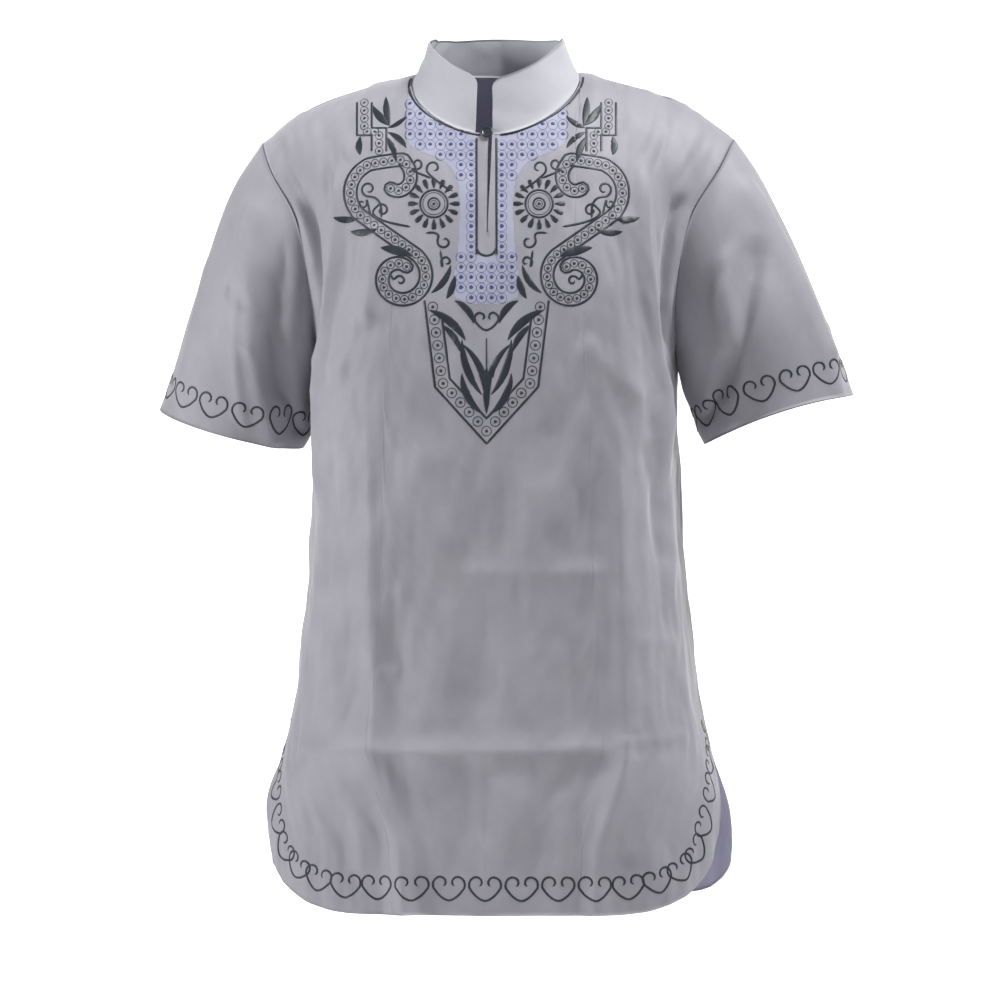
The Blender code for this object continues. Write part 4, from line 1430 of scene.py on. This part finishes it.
def neck_design(cloth, finish):
    """All the dark stitching of the neck design on the front."""
    work = Stitching()
    for sign in (1, -1):
        scroll_band(work, cloth, sign)
        sunflower(work, cloth, sign)
        middle = key_line((KEY_OUT + KEY_IN) / 2)
        for spot in evenly(curve_through(middle, LINE_STEP, straight=True), KEY_PITCH):
            ringed_dot(work, cloth, spot.x * sign, spot.y, RING_RADIUS)
    middle = curve_through(pendant_line(PENDANT_MIDDLE), LINE_STEP, straight=True)
    for spot in evenly(middle, PENDANT_PITCH):
        ringed_dot(work, cloth, spot.x, spot.y, PENDANT_RING)
    for out in (KEY_OUT, KEY_IN):
        sew_curve(work, cloth, key_line(out), CORD_HALF, straight=True)
    for curl in CURLS:
        sew_curve(work, cloth, curl_points(curl), CURL_HALF, ends=CURL_ENDS)
    for leaf in LEAVES:
        sew_leaf(work, cloth, leaf)
    sew_leaf(work, cloth, CENTRE_LEAF, mirror=False)
    for form in (PENDANT_OUTER, PENDANT_INNER):
        sew_curve(work, cloth, pendant_line(form), CORD_HALF, straight=True, mirror=False)
    sew_curve(work, cloth, STEM, STEM_HALF, straight=True, mirror=False)
    crest = [(p.x / MM * CREST_SIZE, CREST_Y - p.y / MM * CREST_SIZE) for p in heart_points()]
    sew_curve(work, cloth, crest, CURL_HALF, mirror=False, ends=CREST_ENDS)
    neck_cord(work, cloth)
    sew_curve(work, cloth, slit_line(), SLIT_CORD_THICK, mirror=False)
    return work.piece("neck_embroidery", finish)


def necklines():
    """The neckline as the camera sees it, in the design's millimetres, from one shoulder to the other."""
    places = []
    for k in range(-NECK_SAMPLES, NECK_SAMPLES + 1):
        point = neck_point(float(k))
        point.x = math.copysign(point.x, k)
        places.append(design_place(point))
    return places


def in_scale_field(neckline, x, y):
    """Whether a place lies in the filled field: below the neckline, beside the slit's cord."""
    last = SCALE_FIELD[-1]
    if y < SCALE_FIELD[0].y or y > last.y or abs(x) > smooth(SCALE_FIELD, "half_width", y):
        return False
    if y < SLIT_CORD_LOW + SLIT_CORD_HALF and abs(x) < SLIT_CORD_HALF:
        return False
    for a, b in zip(neckline, neckline[1:]):
        if a[0] <= x < b[0]:
            return y > a[1] + (b[1] - a[1]) * (x - a[0]) / (b[0] - a[0])
    return True


def scale_spots(neckline):
    """The places of the fish-scale rings, where the whole ring lies in the field."""
    columns = int(SCALE_FIELD[0].half_width / SCALE_PITCH)
    rows = int(SCALE_FIELD[-1].y / SCALE_PITCH)
    sides = ((SCALE_EDGE, 0.0), (-SCALE_EDGE, 0.0), (0.0, SCALE_EDGE), (0.0, -SCALE_EDGE))
    for sign in (1, -1):
        for i in range(-1, columns):
            for j in range(rows + 1):
                x, y = (SCALE_FIRST_X + i * SCALE_PITCH) * sign, SCALE_PITCH * (j + SCALE_FIRST_ROW)
                if all(in_scale_field(neckline, x + dx, y + dy) for dx, dy in sides):
                    yield x, y


def scale_fill(cloth, finish, ground_finish):
    """Fish-scale filling: ringed dots on a pale stitched ground."""
    neckline = necklines()
    work = Stitching()
    for x, y in scale_spots(neckline):
        sew_ring(work, cloth, x, y, SCALE_RADIUS, FINE_HALF)
        sew_knot(work, cloth, x, y - SCALE_DOT_UP, SCALE_DOT)
    work.piece("scale_rings", finish)
    ground = Stitching()
    wide = int(SCALE_FIELD[0].half_width / GROUND_STEP)
    tall = int(SCALE_FIELD[-1].y / GROUND_STEP)
    spots = {}
    for i in range(-wide, wide):
        for j in range(tall):
            if not in_scale_field(neckline, (i + 0.5) * GROUND_STEP, (j + 0.5) * GROUND_STEP):
                continue
            face = []
            for key in ((i, j), (i, j + 1), (i + 1, j + 1), (i + 1, j)):
                if key not in spots:
                    seen = cloth.seen(key[0] * GROUND_STEP, key[1] * GROUND_STEP)
                    if seen is None:
                        break
                    spots[key] = len(ground.verts)
                    ground.verts.append(seen[0] + seen[1] * GROUND_LIFT)
                face.append(spots[key])
            if len(face) == 4:
                ground.faces.append(tuple(face))
    ground.piece("scale_ground", ground_finish)


# Open hearts with tips curled in, in metres: each half runs out from the point and curls round its lobe
HEART_LOBE = Spiral(0.0064, 0.0140, 0.0074, 0.0026, -35.0, 235.0)
HEART_FLANK = (0.0070, 0.0034)
HEART_SIZE = 1.12
HEART_PITCH = 0.0335
HEART_FROM_EDGE = 0.0140
HEART_HALF = 0.00125
HEART_STITCH = 0.00115
HEART_RIDGES = 0.24
HEART_ENDS = 3.0
HEART_MIDDLE = 0.0110

# The hem's and vents' edge: its steps, the share of the front's height that a vent may take, and how
# far inside the edge and over what span its normals are measured
HEM_STEPS, VENT_STEPS = 90, 60
VENT_SHARE = 0.22
EDGE_ACROSS, EDGE_DOWN = 0.97, 0.985
EDGE_SPAN, EDGE_LAST = 0.02, 0.99
CUFF_INNER_RING = -4


def heart_points():
    """A heart from one curled tip round its point to the other."""
    half = [Vector(HEART_FLANK)] + spiral_points(HEART_LOBE)
    return [Vector((-p.x, p.y)) for p in half[::-1]] + [Vector((0.0, 0.0))] + half


def sew_heart(work, cloth, base, along, normal):
    """One heart at a place on the cloth, its point towards the edge. along is the edge's direction."""
    inward = normal.cross(along).normalized()
    line = curve_through([point * HEART_SIZE for point in heart_points()], HEART_STITCH)
    path = [cloth.under(base + along * p.x + inward * p.y, normal) for p in line]
    sew_line(work, path, HEART_HALF, ends=HEART_ENDS, ridges=HEART_RIDGES)


def border(work, cloth, edge, normals):
    """Hearts evenly spaced along an edge. edge runs with the cloth on its left, seen from outside."""
    lengths = [0.0]
    for a, b in zip(edge, edge[1:]):
        lengths.append(lengths[-1] + (b - a).length)
    count = round(lengths[-1] / HEART_PITCH)
    pitch = lengths[-1] / count
    for k in range(count):
        at = (k + 0.5) * pitch
        i = next(i for i in range(len(edge) - 1) if lengths[i + 1] >= at)
        share = (at - lengths[i]) / (lengths[i + 1] - lengths[i])
        low, high = max(i - 2, 0), min(i + 3, len(edge) - 1)
        along = (edge[high] - edge[low]).normalized()
        normal = normals[i].lerp(normals[min(i + 1, len(edge) - 1)], share).normalized()
        inward = normal.cross(along).normalized()
        place = edge[i].lerp(edge[i + 1], share) + inward * HEART_FROM_EDGE
        found = cloth.under(place + inward * HEART_MIDDLE, normal)
        if found:
            sew_heart(work, cloth, found[0] - inward * HEART_MIDDLE, along, normal)


def front_edge():
    """The front's outer edge from one vent's top round the hem to the other, with outward normals."""
    half = [(i / HEM_STEPS, 1.0) for i in range(HEM_STEPS + 1)]
    half += [(1.0, 1.0 - VENT_SHARE * i / VENT_STEPS) for i in range(1, VENT_STEPS + 1)]
    points = []
    for across, down in half:
        point = lower_point("front", across, down)
        if point.z > VENT_TOP_Z:
            break
        across, down = across * EDGE_ACROSS, down * EDGE_DOWN
        inner = lower_point("front", across, down)
        wide = lower_point("front", min(across + EDGE_SPAN, EDGE_LAST), down) - inner
        tall = lower_point("front", across, down - EDGE_SPAN) - inner
        normal = wide.cross(tall).normalized()
        points.append((point, normal if normal.y < 0 else -normal))
    left = [(Vector((-p.x, p.y, p.z)), Vector((-n.x, n.y, n.z))) for p, n in points[1:]]
    whole = left[::-1] + points
    return [p for p, _ in whole], [n for _, n in whole]


def cuff_edge(rows):
    """The sleeve's lower edge all round, with outward normals."""
    last, before = rows[-1], rows[CUFF_INNER_RING]
    edge = last + last[:1]
    normals = []
    count = len(last)
    for j in range(count + 1):
        ahead = last[(j + 1) % count] - last[(j - 1) % count]
        normals.append(ahead.cross(before[j % count] - last[j % count]).normalized())
    centre = sum(last, Vector()) / count
    if sum((p - centre).dot(n) for p, n in zip(edge, normals)) < 0:
        normals = [-n for n in normals]
    return edge, normals


def ordered(edge, normals, into):
    """The edge turned so that the cloth lies inward of it; into points from the edge into the cloth."""
    i = len(edge) // 2
    along = (edge[i + 1] - edge[i]).normalized()
    if normals[i].cross(along).dot(into) < 0:
        return edge[::-1], normals[::-1]
    return edge, normals


SIDEWAYS = Vector((1.0, 0.0, 0.0))

# The button's section as (share of its radius, share of its thickness), and the steps of its turn
BUTTON_PROFILE = (
    (0.0, -0.5), (0.80, -0.5), (0.95, -0.36), (1.0, -0.10), (1.0, 0.16), (0.95, 0.38), (0.86, 0.49),
    (0.78, 0.50), (0.70, 0.42), (0.62, 0.30), (0.50, 0.26), (0.30, 0.25), (0.0, 0.25),
)
BUTTON_STEPS = 64

# The loop's steps, the sides of its thread, and the depth and twist of the strands in it
LOOP_STEPS, LOOP_SIDES = 110, 10
STRAND_DEPTH, STRAND_TWIST = 0.16, 0.35


def ring_faces(rings, count):
    """The faces between rings of count points each."""
    return [
        (a + k, a + (k + 1) % count, a + count + (k + 1) % count, a + count + k)
        for a in range(0, (rings - 1) * count, count)
        for k in range(count)
    ]


def button_piece(finish):
    """The button: a turned disc with a rounded rim and a shallow dish."""
    place, normal, _ = slit_top_frame()
    centre = place + normal * (BUTTON_THICK / 2 + LOOP_THICK + 2 * SEAM)
    centre.x = BUTTON_X
    ahead = normal.cross(SIDEWAYS)
    verts = []
    for share, up in BUTTON_PROFILE:
        for k in range(BUTTON_STEPS):
            angle = 2 * math.pi * k / BUTTON_STEPS
            way = SIDEWAYS * math.cos(angle) + ahead * math.sin(angle)
            verts.append(centre + way * (BUTTON_RADIUS * max(share, 0.001)) + normal * (BUTTON_THICK * up))
    faces = ring_faces(len(BUTTON_PROFILE), BUTTON_STEPS)
    made = mesh_object("button", verts, faces, finish)
    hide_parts("button")


def loop_piece(finish):
    """A twisted thread loop under the button."""
    place, normal, slope = slit_top_frame()
    lift = normal * (LOOP_THICK / 2 + SEAM)
    verts = []
    for i in range(LOOP_STEPS + 1):
        angle = math.radians((LOOP_OPENING - 180.0) * (1 - 2 * i / LOOP_STEPS))
        out = SIDEWAYS * -math.cos(angle) + slope * math.sin(angle)
        centre = place + out * LOOP_RADIUS + lift + SIDEWAYS * BUTTON_X
        for k in range(LOOP_SIDES):
            turn = 2 * math.pi * k / LOOP_SIDES
            strand = 1.0 - STRAND_DEPTH * abs(math.sin(turn + i * STRAND_TWIST))
            spot = out * math.cos(turn) + normal * math.sin(turn)
            verts.append(centre + spot * (LOOP_THICK / 2 * strand))
    faces = ring_faces(LOOP_STEPS + 1, LOOP_SIDES)
    faces.append(tuple(range(LOOP_SIDES)))
    faces.append(tuple(LOOP_STEPS * LOOP_SIDES + k for k in reversed(range(LOOP_SIDES))))
    made = mesh_object("button_loop", verts, faces, finish)
    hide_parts("button_loop")


# The white sweep: half its width, the floor's height and front end, the bend and the top, in metres
SWEEP_HALF = 6.0
FLOOR_Z, FLOOR_FROM, FLOOR_TO = -1.45, -6.0, 5.6
BEND_RADIUS, BEND_STEPS = 0.9, 12
SWEEP_TOP = 4.5

# What the sweep and the sky give off: the sweep from front to back, the sky to the shirt and to the camera
GLOW_FROM_Y, GLOW_TO_Y = -0.5, 1.6
GLOW_FRONT, GLOW_BACK = 0.12, 0.85
SKY_COLOUR = (0.95, 0.97, 1.0, 1.0)
SKY_LIGHT, SKY_SEEN = 0.13, 0.92

Lamp = namedtuple("Lamp", "name place aim size power")
LAMPS = (
    Lamp("key", (-2.0, -0.95, 0.3), (0.0, 0.0, -0.4), 0.6, 38.0),
    Lamp("high", (1.5, -0.55, 2.4), (0.0, 0.0, -0.3), 0.9, 125.0),
)


def area_light(lamp):
    """A square light that the camera doesn't see, turned to where it aims."""
    data = bpy.data.lights.new(lamp.name, "AREA")
    data.shape = "SQUARE"
    data.size = lamp.size
    data.energy = lamp.power
    made = bpy.data.objects.new(lamp.name, data)
    made.location = lamp.place
    made.rotation_mode = "QUATERNION"
    made.rotation_quaternion = (Vector(lamp.aim) - Vector(lamp.place)).to_track_quat("-Z", "Y")
    made.visible_camera = False
    bpy.context.scene.collection.objects.link(made)


def paper_material():
    """White paper that glows more the further back it lies."""
    made, tree, shader = blank_material("white_paper")
    shader.inputs["Base Color"].default_value = (0.93, 0.93, 0.93, 1.0)
    shader.inputs["Emission Color"].default_value = (1.0, 1.0, 1.0, 1.0)
    grain = node(tree, "ShaderNodeTexNoise", Scale=3.0, Detail=1.0, Roughness=0.5)
    tone = node(tree, "ShaderNodeMapRange", To_Min=0.80, To_Max=0.90)
    position = node(tree, "ShaderNodeNewGeometry")
    parts = node(tree, "ShaderNodeSeparateXYZ")
    glow = node(
        tree, "ShaderNodeMapRange",
        From_Min=GLOW_FROM_Y, From_Max=GLOW_TO_Y, To_Min=GLOW_FRONT, To_Max=GLOW_BACK,
    )
    wire(
        tree,
        (grain, "Fac", tone, "Value"),
        (tone, "Result", shader, "Roughness"),
        (position, "Position", parts, "Vector"),
        (parts, "Y", glow, "Value"),
        (glow, "Result", shader, "Emission Strength"),
    )
    return made


def sweep():
    """The white floor and wall, joined by a bend."""
    profile = [(FLOOR_FROM, FLOOR_Z), (FLOOR_TO, FLOOR_Z)]
    for k in range(1, BEND_STEPS + 1):
        angle = math.pi / 2 * k / BEND_STEPS
        y = FLOOR_TO + BEND_RADIUS * math.sin(angle)
        profile.append((y, FLOOR_Z + BEND_RADIUS * (1 - math.cos(angle))))
    profile.append((FLOOR_TO + BEND_RADIUS, SWEEP_TOP))
    verts = [(x, y, z) for y, z in profile for x in (-SWEEP_HALF, SWEEP_HALF)]
    faces = [(2 * i, 2 * i + 1, 2 * i + 3, 2 * i + 2) for i in range(len(profile) - 1)]
    mesh = bpy.data.meshes.new("sweep")
    mesh.from_pydata(verts, [], faces)
    mesh.shade_smooth()
    mesh.materials.append(paper_material())
    made = bpy.data.objects.new("sweep", mesh)
    bpy.context.scene.collection.objects.link(made)


def studio():
    """The sweep, a dim sky and two soft lights, a low one from the left and a high one from the right."""
    sweep()
    scene = bpy.context.scene
    world = bpy.data.worlds.new("studio")
    scene.world = world
    world.use_nodes = True
    tree = world.node_tree
    sky = tree.nodes["Background"]
    sky.inputs["Color"].default_value = SKY_COLOUR
    seen = node(tree, "ShaderNodeLightPath")
    strength = node(tree, "ShaderNodeMapRange", To_Min=SKY_LIGHT, To_Max=SKY_SEEN)
    wire(
        tree,
        (seen, "Is Camera Ray", strength, "Value"),
        (strength, "Result", sky, "Strength"),
    )
    for lamp in LAMPS:
        area_light(lamp)
    scene.view_settings.view_transform = "Standard"
    scene.view_settings.look = "None"


def camera():
    """The camera, level and at the angle of the photo."""
    data = bpy.data.cameras.new("camera")
    data.sensor_width = SENSOR
    data.lens = SENSOR * CAMERA_DISTANCE / (PICTURE * UNIT)
    made = bpy.data.objects.new("camera", data)
    made.location = EYE
    made.rotation_euler = (math.pi / 2, 0.0, CAMERA_TURN)
    bpy.context.scene.collection.objects.link(made)
    bpy.context.scene.camera = made


# Colours
CLOTH_COLOUR = (0.345, 0.336, 0.374)
CLOTH_SHADE = (0.298, 0.289, 0.328)
# The inside's two colours are painted light: a lighter, bluer copy of the cloth's colours, standing in for
# the cool light that reaches the inside
INSIDE_COLOUR = (0.420, 0.405, 0.530)
INSIDE_SHADE = (0.360, 0.348, 0.465)
COLLAR_COLOUR = (0.520, 0.520, 0.565)
COLLAR_SHADE = (0.480, 0.480, 0.525)
THREAD_COLOUR = (0.010, 0.014, 0.021)
THREAD_LIGHT = (0.026, 0.034, 0.046)
SCALE_COLOUR = (0.035, 0.040, 0.140)
SCALE_LIGHT = (0.075, 0.080, 0.220)
GROUND_COLOUR = (0.400, 0.412, 0.520)
GROUND_SHADE = (0.320, 0.330, 0.450)
LOOP_COLOUR = (0.500, 0.510, 0.580)
LOOP_LIGHT = (0.580, 0.590, 0.650)
BUTTON_COLOUR = (0.020, 0.024, 0.030)
BUTTON_LIGHT = (0.036, 0.042, 0.052)


def main():
    """The whole picture: camera, light and each piece of the shirt."""
    camera()
    studio()
    cloth = cloth_material("grey_cotton", CLOTH_COLOUR, CLOTH_SHADE, sheen=0.30, roughness=0.55)
    band = cloth_material(
        "collar_cotton", COLLAR_COLOUR, COLLAR_SHADE, sheen=0.25, roughness=0.55, weave=0.12
    )
    # Painted light: the inside's lighter, bluer copy of the cloth stands in for the cool light that reaches
    # the inside
    inside = cloth_material("grey_cotton_inside", INSIDE_COLOUR, INSIDE_SHADE, sheen=0.20, roughness=0.60)
    ground = thread_material(
        "scale_ground", GROUND_SHADE, GROUND_COLOUR, roughness=0.60, sheen=0.2, scale=700.0
    )
    thread = thread_material("slate_thread", THREAD_COLOUR, THREAD_LIGHT, roughness=0.48)
    blue = thread_material("blue_thread", SCALE_COLOUR, SCALE_LIGHT, roughness=0.50)
    button = thread_material(
        "button_finish", BUTTON_COLOUR, BUTTON_LIGHT, roughness=0.30, sheen=0.0, scale=300.0
    )
    twist = thread_material("loop_finish", LOOP_COLOUR, LOOP_LIGHT, roughness=0.65)

    front = fine_panel("front", (cloth, inside))
    back = fine_panel("back", (cloth, inside))
    seen = Cloth(front)
    neck_design(seen, thread)
    scale_fill(seen, blue, ground)
    hem = Stitching()
    edge, normals = ordered(*front_edge(), UP)
    border(hem, seen, edge, normals)
    hem.piece("front_hearts", thread)
    for cuff in CUFFS:
        sleeve, rows = fine_sleeve(cuff, (cloth, inside))
        hearts = Stitching()
        edge, normals = ordered(*cuff_edge(rows), UP)
        border(hearts, Cloth(sleeve), edge, normals)
        hearts.piece("hearts_" + cuff.side, thread)
    collar = fine_collar((band, band))
    button_piece(button)
    loop_piece(twist)


main()
